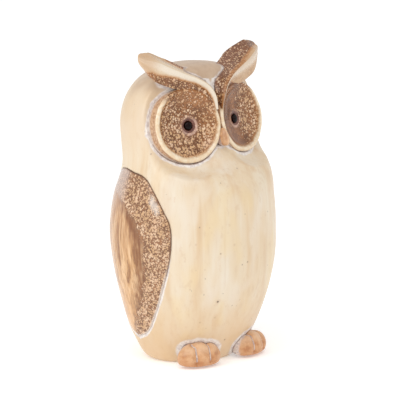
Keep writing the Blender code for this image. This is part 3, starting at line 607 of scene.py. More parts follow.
def foot_glaze():
    g = Glaze("foot_glaze")
    cloud = g.noise(5.0, 3.0, 0.55)
    fine = g.noise(0.8, 3.0, 0.6, shift=(3, 2, 1))
    colour = g.mix(g.step(cloud, 0.36, 0.64), tone(228, 178, 132), tone(206, 146, 96))
    colour = g.mix(g.mul(g.step(cloud, 0.52, 0.72), 0.50), colour, tone(178, 114, 70))
    colour = g.mix(g.mul(g.step(fine, 0.57, 0.72), 0.35), colour, tone(168, 116, 82))
    # painted shade: darker orange low on the foot
    colour = g.mix(g.mul(g.step(g.z, 0.008, 0.001), 0.55), colour, tone(196, 130, 80))
    # painted highlight: light peach on the top of the foot
    colour = g.mix(g.mul(g.attribute("crown"), 0.60), colour, tone(240, 204, 168))
    far, pick, _ = g.cells(4.0, g.warped(2.0, 0.5))
    colour = g.mix(g.mul(g.step(far, 0.09, 0.04), g.step(pick, 0.45, 0.5), 0.6), colour, tone(128, 84, 60))
    ragged = g.noise(1.4, 3.0, 0.6, shift=(4, 4, 4))
    wash = g.step(g.add(g.attribute("wash"), g.mul(g.sub(ragged, 0.5), 0.7)), 0.42, 0.82)
    colour = g.mix(g.mul(wash, 0.85), colour, g.mix(g.step(ragged, 0.42, 0.6), tone(246, 238, 232), tone(206, 194, 196)))
    line = g.step(g.add(g.attribute("line"), g.mul(g.sub(ragged, 0.5), 0.7)), 0.74, 1.05)
    colour = g.mix(g.mul(line, 0.55), colour, tone(138, 108, 98))
    normal = g.bump(g.add(cloud, g.mul(fine, 0.3)), 0.5, 0.4)
    return g.finish(colour, g.add(0.34, g.mul(fine, 0.12)), normal, coat=0.2, coat_rough=0.16)


# ---------------------------------------------------------------- pieces
LOW = np.array(cad_box[0], float)
HIGH = np.array(cad_box[1], float)


def piece(name, node, points, faces, attributes, materials, indices=None):
    v = np.asarray(points, float).reshape(-1, 3) + (0.0, SHIFT, 0.0)
    v = np.clip(v * MM, LOW + 2e-6, HIGH - 2e-6)
    quads = np.array([f for f in faces if len(f) == 4])
    a, b, c, d = (v[quads[:, k]] for k in range(4))
    volume = (np.cross(b, c) * a).sum() + (np.cross(c, d) * a).sum()
    if volume < 0:
        faces = [f[::-1] for f in faces]
    mesh = bpy.data.meshes.new(name)
    mesh.from_pydata(v.tolist(), [], faces)
    for key, values in attributes.items():
        layer = mesh.attributes.new(key, "FLOAT", "POINT")
        layer.data.foreach_set("value", np.broadcast_to(np.asarray(values, np.float32), (len(v),)).copy())
    for material in materials:
        mesh.materials.append(material)
    if indices is not None:
        mesh.polygons.foreach_set("material_index", np.asarray(indices, np.int32))
    mesh.update()
    mesh.shade_smooth()
    obj = bpy.data.objects.new(name, mesh)
    bpy.context.scene.collection.objects.link(obj)
    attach(obj, "root")
    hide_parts(node)
    return obj


def wing_table():
    t = through(WING, 600)
    t = t[np.argsort(t[:, 0], kind="stable")]
    z = t[:, 0]
    low, high = z[0], z[-1]
    middle, half = (t[:, 1] + t[:, 2]) / 2, (t[:, 2] - t[:, 1]) / 2
    for gap, reach in ((z - low, 3.2), (high - z, 2.6)):
        k = np.clip(gap / reach, 0, 1)
        half = half * np.sqrt(1 - (1 - k) ** 2)
    return z, middle, half


WING_Z, WING_MIDDLE, WING_HALF = wing_table()
WING_LOOP = np.concatenate([
    np.stack([(WING_MIDDLE + WING_HALF) * ACROSS, WING_Z, 0 * WING_Z], 1),
    np.stack([(WING_MIDDLE - WING_HALF) * ACROSS, WING_Z, 0 * WING_Z], 1),
])


def wing_edge(degrees, z):
    """Distance in mm to the leaf's outline, negative inside it, for angles and heights on the pot."""
    inside = (z > WING_Z[0]) & (z < WING_Z[-1]) & (
        np.abs(degrees - np.interp(z, WING_Z, WING_MIDDLE)) < np.interp(z, WING_Z, WING_HALF))
    flat = np.stack([degrees * ACROSS, z, 0 * z], -1).reshape(-1, 3)
    out = np.full(len(flat), 30.0)
    close = (flat[:, 1] > WING_Z[0] - 6) & (flat[:, 1] < WING_Z[-1] + 6) & (flat[:, 0] > -62 * ACROSS - 8) & (flat[:, 0] < 37 * ACROSS + 8)
    out[close] = nearest(flat[close], WING_LOOP)
    return out.reshape(z.shape) * np.where(inside, -1.0, 1.0)


def pot_levels(count):
    levels = through(POT, count)
    soft = soften(levels, count / 110)
    keep = smooth(levels[:, 0:1], 3.0, 9.0) * (1 - smooth(levels[:, 0:1], 184.0, 189.0))
    return levels * (1 - keep) + soft * keep


def body_shell(materials, near_clouds):
    rows, columns = ((400, 520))
    levels = pot_levels(rows)[:-1]
    dense = np.linspace(0, 2 * np.pi, 1441)
    angle = np.empty((len(levels), columns))
    for i, level in enumerate(levels):
        ring = section(np.broadcast_to(level, (1441, 4)), dense)
        length = np.concatenate([[0], np.cumsum(np.linalg.norm(np.diff(ring, axis=0), axis=1))])
        angle[i] = np.interp(np.arange(columns) / columns * length[-1], length, dense)
    half = np.broadcast_to(levels[:, None, :], (*angle.shape, 4))
    grid = press(section(half, angle))
    degrees = -np.degrees(np.arcsin(np.clip(np.sin(angle), -1, 1)))
    height = grid[..., 2]
    # handmade unevenness, always inwards
    keep = smooth(height, 1.0, 8.0)
    uneven = 0.30 * (lumps(grid, 23.0, 1) - 1) + 0.10 * (lumps(grid, 9.0, 2) - 1)
    normal = grid_normals(grid, True)
    grid = grid + normal * (uneven * keep)[..., None]
    # the wings' recesses
    edge = wing_edge(degrees, half[..., 0])
    dip = 1.15 * smooth(-edge, -1.3, 0.35) + 1.35 * smooth(-edge, 0.35, 3.0)
    grid = grid - normal * dip[..., None]
    # the dishes' seats and the flat between them
    for side in (1, -1):
        along, _, tall = in_dish(grid, side)
        front = (grid[..., 1] < -2) & (tall > -DISH_THICK - 0.5)
        drop = (1 - smooth(along, 0.92, 0.995)) * np.maximum(tall + DISH_THICK + 0.5, 0) * front
        crease = 0.45 * (1 - smooth(np.abs(along - 1.0) * 24.3, 0.0, 1.1)) * front
        grid = grid - dish_frame(side)[3] * (drop + crease)[..., None]
    x, y, z = grid[..., 0], grid[..., 1], grid[..., 2]
    flat = smooth(z, 139, 145) * (1 - smooth(z, 167, 171)) * (1 - smooth(np.abs(x), 4.6, 8.0))
    grid[..., 1] = y + flat * np.maximum(0, -18.6 - y)

    p = grid.reshape(-1, 3)
    ring_gap = np.minimum(*[np.where(p[:, 1] < 0, np.abs(in_dish(p, s)[0] - 1.0) * 24.3, 30.0) for s in (1, -1)])
    ragged = lumps(p, 5.0, 5) * 0.5 + lumps(p, 2.2, 6) * 0.3
    wash = (1 - smooth(ring_gap + ragged * 1.6, 0.6, 3.6)) * 0.9
    seam = (1 - smooth(ring_gap, 0.15, 0.85)) * 0.75
    lower = np.where(p[:, 1] < 0, smooth(-p[:, 2], -150, -136), 0.0)
    seam = seam * np.where(p[:, 0] < 0, 0.5 + 0.7 * lower, 0.45)
    for name, reach, strength in (("foot", 5.4, 1.0), ("tuft", 3.2, 0.95), ("beak", 3.6, 0.9)):
        cloud = near_clouds[name]
        box_low, box_high = cloud.min(0) - 6, cloud.max(0) + 6
        close = np.all((p > box_low) & (p < box_high), axis=1)
        gap = np.full(len(p), 30.0)
        gap[close] = nearest(p[close], cloud)
        if name == "tuft":
            reach = np.where((p[:, 2] < 182) & (p[:, 1] < -4), 5.2, 1.9)
            strength = np.where((p[:, 2] < 182) & (p[:, 1] < -4), 1.0, 0.62)
        wash = np.maximum(wash, strength * (1 - smooth((gap + ragged) / reach, 0.2, 1.0)))
        seam = np.maximum(seam, 0.72 * (1 - smooth(gap, 0.45, 1.0)))
    e = edge.reshape(-1)
    ahead = degrees.reshape(-1) > np.interp(p[:, 2], WING_Z, WING_MIDDLE)
    low_front = ahead * smooth(-p[:, 2], -84, -58)
    wash = np.maximum(wash, low_front * (1 - smooth(e + ragged * 0.7, 0.5, 2.3)) * (e > -1))
    wash = np.maximum(wash, (1 - smooth(np.abs(e), 0.4, 1.8)) * smooth(-p[:, 2], -30, -20) * 0.9)
    seam = np.maximum(seam, (1 - smooth(np.abs(e + 0.15), 0.15, 0.75)) * np.where(ahead, smooth(p[:, 2], 60, 84), 0.5) * 0.95)
    attributes = {"wash": wash, "seam": seam}

    verts = list(grid.reshape(-1, 3))
    faces = grid_faces(len(levels), columns)
    top = len(verts)
    verts.append(np.array([0.0, 0.0, POT[-1][0] - 0.4]))
    faces += cap(top, (len(levels) - 1) * columns, columns)
    outside = len(faces)
    inner = through(HOLLOW, 60)[:-1]
    angles = np.arange(columns) * 2 * np.pi / columns
    inner_grid = section(np.broadcast_to(inner[:, None, :], (len(inner), columns, 4)), np.broadcast_to(angles, (len(inner), columns)))
    start = len(verts)
    verts += list(inner_grid.reshape(-1, 3))
    faces += [f[::-1] for f in grid_faces(len(inner), columns, start)]
    roof = len(verts)
    verts.append(np.array([0.0, 0.0, HOLLOW[-1][0]]))
    faces += cap(roof, start + (len(inner) - 1) * columns, columns, turn=True)
    for j in range(columns):
        k = (j + 1) % columns
        faces.append([j, start + j, start + k, k])
    spare = len(verts) - len(wash)
    attributes = {key: np.concatenate([value, np.zeros(spare)]) for key, value in attributes.items()}
    indices = np.zeros(len(faces), int)
    indices[outside:] = 1
    return piece("pot_body", "body_shell", verts, faces, attributes, materials, indices)


def base_slab(material):
    sides = 240
    edge = 0.35
    rings = []
    for kind, inset, height in (
        ("vent", 0.0, 1.6), ("vent", 0.15, 0.7), ("vent", 0.5, 0.2), ("vent", 1.0, 0.0), ("mid", 4.0, 0.0), ("mid", 8.0, 0.0), ("edge", 1.4, 0.0),
        ("edge", 0.7, 0.15), ("edge", 0.2, 0.6), ("edge", 0.0, 1.3), ("edge", 0.0, 4.2), ("edge", 0.3, 4.8), ("edge", 0.9, 5.0),
        ("mid", 8.0, 5.0), ("mid", 4.0, 5.0), ("vent", 1.0, 5.0), ("vent", 0.3, 4.7), ("vent", 0.0, 4.0),
    ):
        a = np.arange(sides) * 2 * np.pi / sides
        depth = np.where(np.sin(a) < 0, HOLLOW[0][2], HOLLOW[0][3])
        ex, ey = (HOLLOW[0][1] - edge) * np.cos(a), (depth - edge) * np.sin(a)
        r = np.hypot(ex, ey)
        if kind == "edge":
            r = r - inset
        else:
            r = VENT_R + inset + 0 * r
        ring = np.stack([r * ex / np.hypot(ex, ey), r * ey / np.hypot(ex, ey), height + 0 * a], 1)
        rings.append(ring)
    grid = np.array(rings)
    # slightly wavy underside, clear of the table
    wave = 0.25 * (lumps(grid, 7.0, 11) + 1)
    grid[..., 2] += np.where(grid[..., 2] < 0.3, wave * 0.6, 0)
    verts = grid.reshape(-1, 3)
    faces = grid_faces(len(rings), sides)
    last = (len(rings) - 1) * sides
    for j in range(sides):
        k = (j + 1) % sides
        faces.append([last + j, last + k, k, j])
    return piece("slab_base", "base_slab", verts, faces, {}, [material])


def bowl_height(r):
    """Height of the dish's bowl over the rim plane, at a radius in mm."""
    return np.interp(r, BOWL[:, 0], BOWL[:, 1])


BOWL_POINTS = (
    (SOCKET_R + 0.05, FLOOR - 0.9), (3.35, FLOOR - 0.42), (4.0, FLOOR - 0.22), (4.7, FLOOR + 0.06), (5.4, FLOOR + 0.24), (6.3, FLOOR + 0.18),
    (9.5, FLOOR + 0.25), (14.5, FLOOR + 0.95), (18.4, FLOOR + 2.2), (20.8, FLOOR + 3.7), (22.1, FLOOR + 4.62), (23.1, FLOOR + 4.75),
    (24.0, FLOOR + 4.15), (24.4, FLOOR + 3.1),
)
BOWL = through(BOWL_POINTS, 400)


def eye_dish(side, word, material):
    sides = 300
    centre, h, v, n = dish_frame(side)
    bowl = through(BOWL_POINTS, 130)
    wall = through(((24.4, FLOOR + 3.1), (24.4, -4.5), (24.4, -7.6), (24.2, -8.25), (23.6, -8.5)), 26)[1:]
    profile = np.vstack([[[0.001, FLOOR - 2.4], [SOCKET_R - 0.3, FLOOR - 2.4], [SOCKET_R, FLOOR - 2.1]], bowl, wall, [[0.001, -8.5]]])
    a = np.arange(sides) * 2 * np.pi / sides
    radius, height = profile[:, 0][:, None], profile[:, 1][:, None]
    stretch = DISH_HALF_WIDTH / DISH_HALF_HEIGHT
    shift = PUPIL_IN * (1 - smooth(radius, 6.0, 20.0))
    # the rim is a little uneven, always inwards
    wavy = smooth(radius, 17.0, 23.0) * (0.5 * np.sin(2 * a + side) + 0.35 * np.sin(5 * a + 2 * side) + 0.25 * np.sin(9 * a + 1) - 1.1)
    px = (radius + 0.16 * wavy) * stretch * np.cos(a) - shift
    low = np.where(np.sin(a) < 0, DISH_LOW[side] / DISH_HALF_HEIGHT, 1.0)
    py = (radius + 0.16 * wavy) * np.sin(a) * low
    # the outer wall leans out a little from the rim to its foot
    lean = 0.95 * (0.55 + 0.45 * np.cos(a)) * smooth(radius, 13.0, 22.0) * (1 - smooth(-height, 1.5, 8.4))
    px, py = px - lean * np.cos(a), py - lean * np.sin(a)
    pz = height + 0.10 * wavy * (height > -7)
    grid = centre + px[..., None] * h + py[..., None] * v + pz[..., None] * n
    on_bowl = smooth(radius, 6.5, 9.0) * (height > -5) + 0 * a
    grid = grid + n * (on_bowl * 0.22 * lumps(grid, 6.0, 21 + side))[..., None]
    keep = np.maximum(side * grid[..., 0], 0.15)
    grid[..., 0] = side * keep
    phi = np.degrees(np.arctan2(py, px))
    rho = radius / 24.4 + 0 * a
    inner = np.arange(len(profile))[:, None] <= 2 + len(bowl)
    # the cream is widest under the dish and narrow beside the beak
    widen = 0.030 * np.sin(np.radians(-phi)) + 0.010 * np.cos(np.radians(phi))
    tuck = smooth(phi, 38, 62) * (1 - smooth(phi, 148, 166))
    out = np.where(inner, rho + widen, 1.0)
    attributes = {
        "rho": out,
        "tuck": tuck * inner,
        "ring": (1 - smooth(radius, 4.4, 5.0)) * inner + 0 * a,
        "halo": smooth(radius, 4.5, 5.1) * (1 - smooth(radius, 5.9, 6.9)) * (0.35 + 0.65 * smooth(-np.cos(np.radians(phi - (35 if side < 0 else 110))), -0.2, 0.8)) * inner,
        "wall": np.where(inner, smooth(rho, 0.985, 1.0) * 0.7, 1.0),
        "wash": np.where(inner, 0.0, smooth(-height - face_drop(phi), -1.5, 0.1)),
    }
    if side < 0:
        speck = 1.08 + 0.22 * smooth(-phi, -40, 60) * smooth(rho, 0.2, 0.7) - 0.18 * smooth(phi, 45, 100) * smooth(rho, 0.3, 0.8)
        warm = smooth(phi, 40, 90) * (1 - smooth(phi, 120, 170)) * smooth(rho, 0.25, 0.7) * 0.8
        warm = np.maximum(warm, 0.62 * smooth(-rho * np.cos(np.radians(phi)), -0.05, 0.6))
        grey = 0.25 * (1 - smooth(rho, 0.2, 0.45)) + 0 * a
    else:
        across = rho * np.cos(np.radians(phi))
        speck = 0.36 + 0.78 * smooth(across, -0.12, 0.30) - 0.45 * smooth(rho * np.sin(np.radians(-phi)), 0.35, 0.75)
        warm = smooth(across, 0.0, 0.6) * 0.3 + 0.25
        grey = 0.55 * smooth(-across, -0.15, 0.45) * smooth(-phi, -60, 30)
    attributes.update({"speck": speck + 0 * a, "warm": warm + 0 * a, "grey": grey + 0 * a})
    attributes = {key: np.broadcast_to(value, rho.shape).reshape(-1) for key, value in attributes.items()}
    faces = grid_faces(len(profile), sides)
    return piece("dish_" + word, "eye_dish_" + word, grid, faces, attributes, [material])


def eye_bead(side, word, material):
    sides = 72
    centre, h, v, n = dish_frame(side)
    centre = centre - h * PUPIL_IN
    low, r = FLOOR - 2.05, PUPIL_R
    profile = [(0.001, low), (r - 0.5, low), (r - 0.12, low + 0.15), (r - 0.02, low + 0.5), (r, FLOOR - 0.25)]
    for k in range(1, 17):
        a = math.radians(90 * k / 16)
        profile.append((max(0.001, r * math.cos(a)), FLOOR - 0.25 + 1.5 * math.sin(a)))
    profile = np.array(profile)
    a = np.arange(sides) * 2 * np.pi / sides
    grid = (centre + (profile[:, 0][:, None] * np.cos(a))[..., None] * h + (profile[:, 0][:, None] * np.sin(a))[..., None] * v
            + (profile[:, 1][:, None] + 0 * a)[..., None] * n)
    return piece("bead_" + word, "eye_bead_" + word, grid, grid_faces(len(profile), sides), {}, [material])


def tuft_grid(count, around):
    """Sections of the left tuft with its rounded tip, and for each point the distance to the front edge by its half width."""
    data = np.array([[*f, *k, *g, *u, e] for (f, k, g, u), e in zip(TUFT, TUFT_EDGE)], float)
    fine = soften(through(data, count), count / 40)
    front, back, lower, lip, edge = fine[:, 0:3], fine[:, 3:6], fine[:, 6:9], fine[:, 9:12], fine[:, 12]
    middle = (front + back + lower) / 3
    tangent = np.gradient(middle, axis=0)
    tangent /= np.linalg.norm(tangent, axis=1, keepdims=True)
    rings, bands = [], []
    for f, k, g, u, e, t in zip(front, back, lower, lip, edge, tangent):
        down = (u - f) - ((u - f) @ t) * t
        down /= np.linalg.norm(down)
        rear = (k - f) - ((k - f) @ t) * t
        rear /= np.linalg.norm(rear)
        away = -(down + rear)
        away /= np.linalg.norm(away)
        ring = [
            f, f + down * e * 1.15 - away * e * 0.2, 0.42 * f + 0.58 * u + rear * 0.8, u, 0.5 * (u + g) + down * 0.2,
            g, 0.5 * (g + k), k - rear * 0.3 + down * 0.9, k, 0.5 * (f + k) + down * 0.5, f + rear * e * 1.15 - away * e * 0.2,
        ]
        ring = through(ring, around, closed=True)
        reach = int(0.12 * around)
        share = smooth(np.array(len(rings) / count), 0.35, 0.8)
        kernel = np.exp(-0.5 * (np.arange(-reach, reach + 1) / (0.016 * around + 0.034 * around * share)) ** 2)
        kernel /= kernel.sum()
        long = np.vstack([ring[-reach:], ring, ring[:reach]])
        blurred = np.stack([np.convolve(long[:, k], kernel, "valid") for k in range(3)], axis=1)
        ring = blurred + (ring - blurred).mean(0)
        rings.append(ring)
        bands.append(np.linalg.norm(ring - (f - away * e * 0.6), axis=1) / e)
    rings, bands = np.array(rings), np.array(bands)
    tip = np.array(TUFT_TIP)
    last = rings[-1]
    centre = last.mean(0)
    more, blend = [], 12
    for k in range(1, blend + 1):
        a = math.radians(90 * k / (blend + 0.3))
        more.append(centre + (last - centre) * math.cos(a) + (tip - centre) * math.sin(a))
        bands = np.vstack([bands, bands[count - 1] * (1 - 0.4 * k / blend)])
    return np.vstack([rings, np.array(more)]), bands, blend


TIP_REACH = {1: 3.6, -1: 5.2}


def ear_tuft(side, word, material, make=True):
    count, around = ((150, 120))
    grid, bands, blend = tuft_grid(count, around)
    # the photo's tufts swell towards a rounded tip, the left one more
    middle = grid[:count].mean(axis=1)
    ahead = middle[-1] - middle[int(count * 0.86)]
    ahead /= np.linalg.norm(ahead)
    reach = TIP_REACH[side]
    turns = np.radians(90 * np.arange(1, blend + 1) / (blend + 0.3))
    for k, a in enumerate(turns):
        grid[count + k] = middle[-1] + (grid[count - 1] - middle[-1]) * math.cos(a) + ahead * reach * math.sin(a)
    apex = middle[-1] + ahead * reach
    spine = np.vstack([grid.mean(axis=1), apex])
    walk = np.concatenate([[0], np.cumsum(np.linalg.norm(np.diff(spine, axis=0), axis=1))])
    first = int(count * 0.76)
    share = np.clip((walk[:-1] - walk[first]) / (walk[-1] - walk[first]), 0, 1)
    row = np.arange(len(grid)) / count
    swell = (1 + (0.34 if side > 0 else 0.14) * smooth(row, 0.42, 0.74)) * np.sqrt(1 - share ** (2.5 if side > 0 else 3.2))
    swell = swell / np.concatenate([np.ones(count), np.cos(turns)])
    grid = spine[:-1][:, None] + (grid - spine[:-1][:, None]) * swell[:, None, None]
    slide = np.array((1.25, -1.15, 0.0) if side > 0 else (0.6, 0.2, 0.45))
    grid = grid + slide * smooth(row, 0.45, 0.85)[:, None, None]
    apex = apex + slide
    # a rounded roll along the front edge, the faces beside it hollowed
    index = np.arange(around) / around
    face = ((index > 0.0) & (index < 0.46))[None, :]
    far = np.arange(len(grid))[:, None] / (len(grid) - 1)
    roll = 0.60 * np.exp(-(bands / 1.15) ** 2) - np.where(face, 0.45, 0.95) * smooth(bands, 1.2, 2.3) * (1 - smooth(bands, 3.6, 5.6))
    grid = grid + grid_normals(grid, True) * (roll * smooth(far, 0.05, 0.25) * (1 - smooth(far, 0.74, 0.93)))[..., None]
    # the lower face runs out on the bowl without an edge
    along, phi, tall = in_dish(grid, 1)
    radius = along * 24.4
    bed = bowl_height(np.clip(radius, 7.0, 24.4)) - 0.25
    over = (tall > bed - 4.0) & (radius < 24.3)
    settle = smooth(radius, 17.6, 24.0)
    moved = np.where(over, bed + (tall - bed) * settle, tall)
    grid = grid + dish_frame(1)[3] * (moved - tall)[..., None]
    grid = grid + grid_normals(grid, True) * (0.18 * (lumps(grid, 7.0, 31) - 1))[..., None]
    grid[..., 0] = np.maximum(grid[..., 0], 0.15)
    # cream spreads further over the top of the right tuft, and over the whole face of the left one towards its tip
    if side < 0:
        reach = np.where(face, 1.45 + 0.25 * smooth(far, 0.35, 0.6) + 0.6 * smooth(far, 0.6, 0.8) + 1.2 * smooth(far, 0.84, 0.97), 3.2 + 1.4 * smooth(far, 0.1, 0.5))
    else:
        reach = np.where(face, 1.85 + 3.6 * smooth(far, 0.34, 0.62), 0.80 + 0.2 * smooth(far, 0.5, 0.8) + 1.4 * smooth(far, 0.93, 1.0))
    band = np.clip(reach - bands, 0, 1)
    shade = np.maximum(np.clip((bands - 0.6) / 1.1, 0, 1) * face, 0.42) * (side > 0)
    streak = 0.5 * lumps(np.stack([far * 26 + 0 * bands, bands * 2.4, 0 * bands + 40 * side], -1), 1.5, 37)
    progress = np.arange(len(grid)) / (len(grid) - 1)
    tip = smooth(progress, 0.64, 0.94)[:, None] + 0 * band
    points = grid.reshape(-1, 3)
    tall_of_lower = smooth(progress, 0.5, 0.95)[:, None]
    rear = smooth(grid[..., 1] - grid[..., 1].min(axis=1, keepdims=True), 4.0, 12.0)
    attributes = {
        "band": band, "tip": tip * 0.9, "lip": bands * np.where(face, 1, -1), "streak": streak + 0.25 * (1 - smooth(far, 0.15, 0.45)),
        "speck": ((1.10 if side < 0 else 0.98) - 0.22 * tall_of_lower) + 0 * band,
        "shade": shade,
        "deep": (0.55 if side > 0 else 0.12) + 0 * band,
        "warm": (0.25 if side < 0 else 0.0) + 0.4 * tall_of_lower + 0 * band,
        "grey": 0.75 * rear * (1 - tall_of_lower),
        "wash": 0.8 * rear * 0,
    }
    points = points * (side, 1, 1)
    if not make:
        return points
    verts = list(points)
    faces = grid_faces(len(grid), around)
    root, end = len(verts), len(verts) + 1
    verts += [points[:around].mean(0), apex * (side, 1, 1)]
    faces += cap(root, 0, around, turn=True) + cap(end, (len(grid) - 1) * around, around)
    attributes = {key: np.concatenate([value.reshape(-1), [value.reshape(-1)[0], value.reshape(-1)[-1]]]) for key, value in attributes.items()}
    return piece("tuft_" + word, "ear_tuft_" + word, verts, faces, attributes, [material])


def beak(material, make=True):
    cx, cy, cz = BEAK
    hx, hy, hz = BEAK_HALF
    rows, around = 60, 72
    t = (0.5 - 0.5 * np.cos(np.pi * (np.arange(rows) + 0.6) / rows))[:, None]
    a = (np.arange(around) * 2 * np.pi / around)[None, :]
    swell = np.sin(np.pi * t) ** 0.75 * (0.72 + 0.38 * t)
    # a soft ridge down the front, hollowed flanks beside it
    ridge = np.exp(-((np.degrees(a) - 270) / 26) ** 2)
    x = hx * swell * np.cos(a) * 0.98
    y = hy * swell * np.sin(a) * np.where(np.sin(a) < 0, 1.0, 1.3) * (0.93 + 0.07 * ridge)
    rise = np.cos(np.pi * t)
    grid = np.stack([cx + x * 0.94, cy + y - 1.2 * t, cz + hz * np.where(rise < 0, 0.66, 1.0) * rise + 0 * a], -1)
    grid = grid + grid_normals(grid, True) * (0.12 * (lumps(grid, 3.0, 41) - 1))[..., None]
    if not make:
        return grid.reshape(-1, 3)
    attributes = {"ridge": (ridge * (1 - smooth(t, 0.80, 1.0))).reshape(-1), "wash": (smooth(-np.sin(a), 0.55, -0.2) * 0.9 * smooth(t, 0.2, 0.6) + 0 * t).reshape(-1)}
    verts = list(grid.reshape(-1, 3))
    faces = grid_faces(rows, around)
    top, end = len(verts), len(verts) + 1
    verts += [grid[0].mean(0), grid[-1].mean(0)]
    faces += cap(top, 0, around, turn=True) + cap(end, (rows - 1) * around, around)
    attributes = {key: np.concatenate([value, [0, 0]]) for key, value in attributes.items()}
    return piece("beak_piece", "beak", verts, faces, attributes, [material])


def foot(side, word, material, make=True):
    hx, hy = FOOT_HALF
    around = 300
    rows = 90
    profile = through(FOOT_PROFILE, rows)[:-1]
    scale, z = profile[:, 0][:, None], profile[:, 1][:, None]
    a = (np.arange(around) * 2 * np.pi / around)[None, :]
    px, py = scale * hx * np.cos(a), scale * hy * np.sin(a)
    grid = np.stack([px, py, z + 0 * a], -1)
    ahead = smooth(-py, -3.4, 0.6)
    dent = np.zeros_like(px)
    wide = np.zeros_like(px)
    for g in TOE_GROOVES:
        d = (px / hx - g * side - 0.02 * np.sin(py)) * hx
        dent = np.maximum(dent, np.exp(-(d / 0.50) ** 2))
        wide = np.maximum(wide, np.exp(-(d / 1.9) ** 2))
    dent, wide = dent * ahead, wide * ahead
    normal = grid_normals(grid, True)
    low = smooth(z, 0.0, 2.0) + 0 * a
    depth = 0.62 * dent + 1.25 * wide + 0.12 * (1 - lumps(grid + (side * 50, 0, 0), 6.0, 51))
    grid = grid - normal * (depth * low)[..., None]
    turn = math.radians(FOOT_SPLAY) * side
    c, s = math.cos(turn), math.sin(turn)
    x, y, z = grid[..., 0], grid[..., 1], grid[..., 2]
    placed = np.stack([side * FOOT[0] + c * x - s * y, FOOT[1] + s * x + c * y, FOOT[2] + np.maximum(z, 0.0)], -1)
    if not make:
        return placed.reshape(-1, 3)
    rear = np.maximum(smooth(py, -1.0, 5.0), 0.9 * smooth(-px * side, 1.5, 6.5) * smooth(py, -6.0, 0.5) * (side > 0))
    attributes = {
        "wash": np.maximum(np.maximum(np.minimum(1, np.sqrt(dent) * 1.0) * smooth(z, 1.5, 4.0), wide * 0.34), rear * 0.95).reshape(-1),
        "line": (dent * smooth(z, 0.5, 3.0)).reshape(-1),
        # crown: where the painted highlight on the top of the foot goes
        "crown": (smooth(z, 6.0, 12.5) * (1 - wide)).reshape(-1),
    }
    verts = list(placed.reshape(-1, 3))
    faces = grid_faces(len(profile), around)
    low_at, top = len(verts), len(verts) + 1
    verts += [placed[0].mean(0), placed[-1].mean(0) + (0, 0, 0.1)]
    faces += cap(low_at, 0, around, turn=True) + cap(top, (len(profile) - 1) * around, around)
    attributes = {key: np.concatenate([value, [0, value[-1]]]) for key, value in attributes.items()}
    return piece("foot_" + word + "_pad", "foot_" + word, verts, faces, attributes, [material])


def wing(side, word, material):
    rows, columns = ((260, 130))
    t = 0.5 - 0.5 * np.cos(np.pi * (np.arange(rows) + 0.35) / (rows - 0.3))
    z = WING_Z[0] + (WING_Z[-1] - WING_Z[0]) * t
    middle, half = np.interp(z, WING_Z, WING_MIDDLE), np.interp(z, WING_Z, WING_HALF)
    f = 0.5 - 0.5 * np.cos(np.pi * np.arange(columns) / (columns - 1))
    degrees = middle[:, None] + half[:, None] * (2 * f[None, :] - 1)
    height = z[:, None] + 0 * degrees
    levels = pot_levels(800)
    levels = levels[np.argsort(levels[:, 0], kind="stable")]

    def at(zz, deg):
        table = np.stack([np.interp(zz, levels[:, 0], levels[:, k]) for k in range(4)], -1)
        return section(table, -np.radians(deg))

    here = at(height, degrees)
    normal = np.cross(at(height, degrees - 0.4) - at(height, degrees + 0.4), at(height + 0.4, degrees) - at(height - 0.4, degrees))
    normal /= np.linalg.norm(normal, axis=-1, keepdims=True)
    gap = np.maximum(0.0, -wing_edge(degrees, height))
    gap[:, 0] = gap[:, -1] = 0
    crown = np.sqrt(np.maximum(0, np.sin(np.pi * f)[None, :] * np.sin(np.pi * (z - z[0]) / (z[-1] - z[0]))[:, None]))
    lift = -1.30 + 0.72 * np.sqrt(np.clip(1 - (1 - np.clip(gap / 1.2, 0, 1)) ** 2, 0, 1)) + WING_RISE * crown - 0.1
    lift = lift + 0.12 * lumps(here, 12.0, 61) * smooth(gap, 0.5, 4.0)
    outer = here + normal * lift[..., None]
    inner = here - normal * (WING_BACK - 0.1)
    # speckled glaze covers what lies ahead of this line, in degrees by height
    line = np.interp(height, (16, 30, 45, 62, 82, 96, 104, 110, 116, 127), (-16, -5, 3, 9, 10, 5, -4, -16, -50, -70))
    ahead = degrees - line
    lead = degrees - middle[:, None]
    # painted highlight: where the whitish streak lies on the wing's upper front edge
    slide = 23.0 - 0.55 * (height - 107)
    painted_highlight = 1 - smooth(np.hypot((degrees - slide) / 5.5, (height - 106.5) / 10.5), 0.1, 1.2)
    attributes = {"ahead": ahead, "edge": gap, "lead": lead, "painted_highlight": painted_highlight,
                  "washed": (lead > 0) * (1 - smooth(height, 50, 78)) + 0.9 * (1 - smooth(height, 19, 27)) * (lead <= 0)}
    attributes = {key: np.concatenate([np.asarray(value, float).reshape(-1)] * 2) for key, value in attributes.items()}
    verts = np.concatenate([outer.reshape(-1, 3), inner.reshape(-1, 3)]) * (side, 1, 1)
    n = rows * columns
    faces = grid_faces(rows, columns, 0, wrap=False) + [q[::-1] for q in grid_faces(rows, columns, n, wrap=False)]
    rim = list(range(columns)) + [i * columns + columns - 1 for i in range(1, rows)]
    rim += [(rows - 1) * columns + j for j in range(columns - 2, -1, -1)] + [i * columns for i in range(rows - 2, 0, -1)]
    for a, b in zip(rim, rim[1:] + rim[:1]):
        faces.append([b, a, n + a, n + b])
    return piece("leaf_" + word, "wing_" + word, verts, faces, attributes, [material])


# ---------------------------------------------------------------- the owl
cream, clay = cream_glaze(), inside_clay()
dish_mat, tuft_mat, wing_mat = dish_glaze(), tuft_glaze(), wing_glaze()
bead_mat, beak_mat, foot_mat = bead_glaze(), beak_glaze(), foot_glaze()

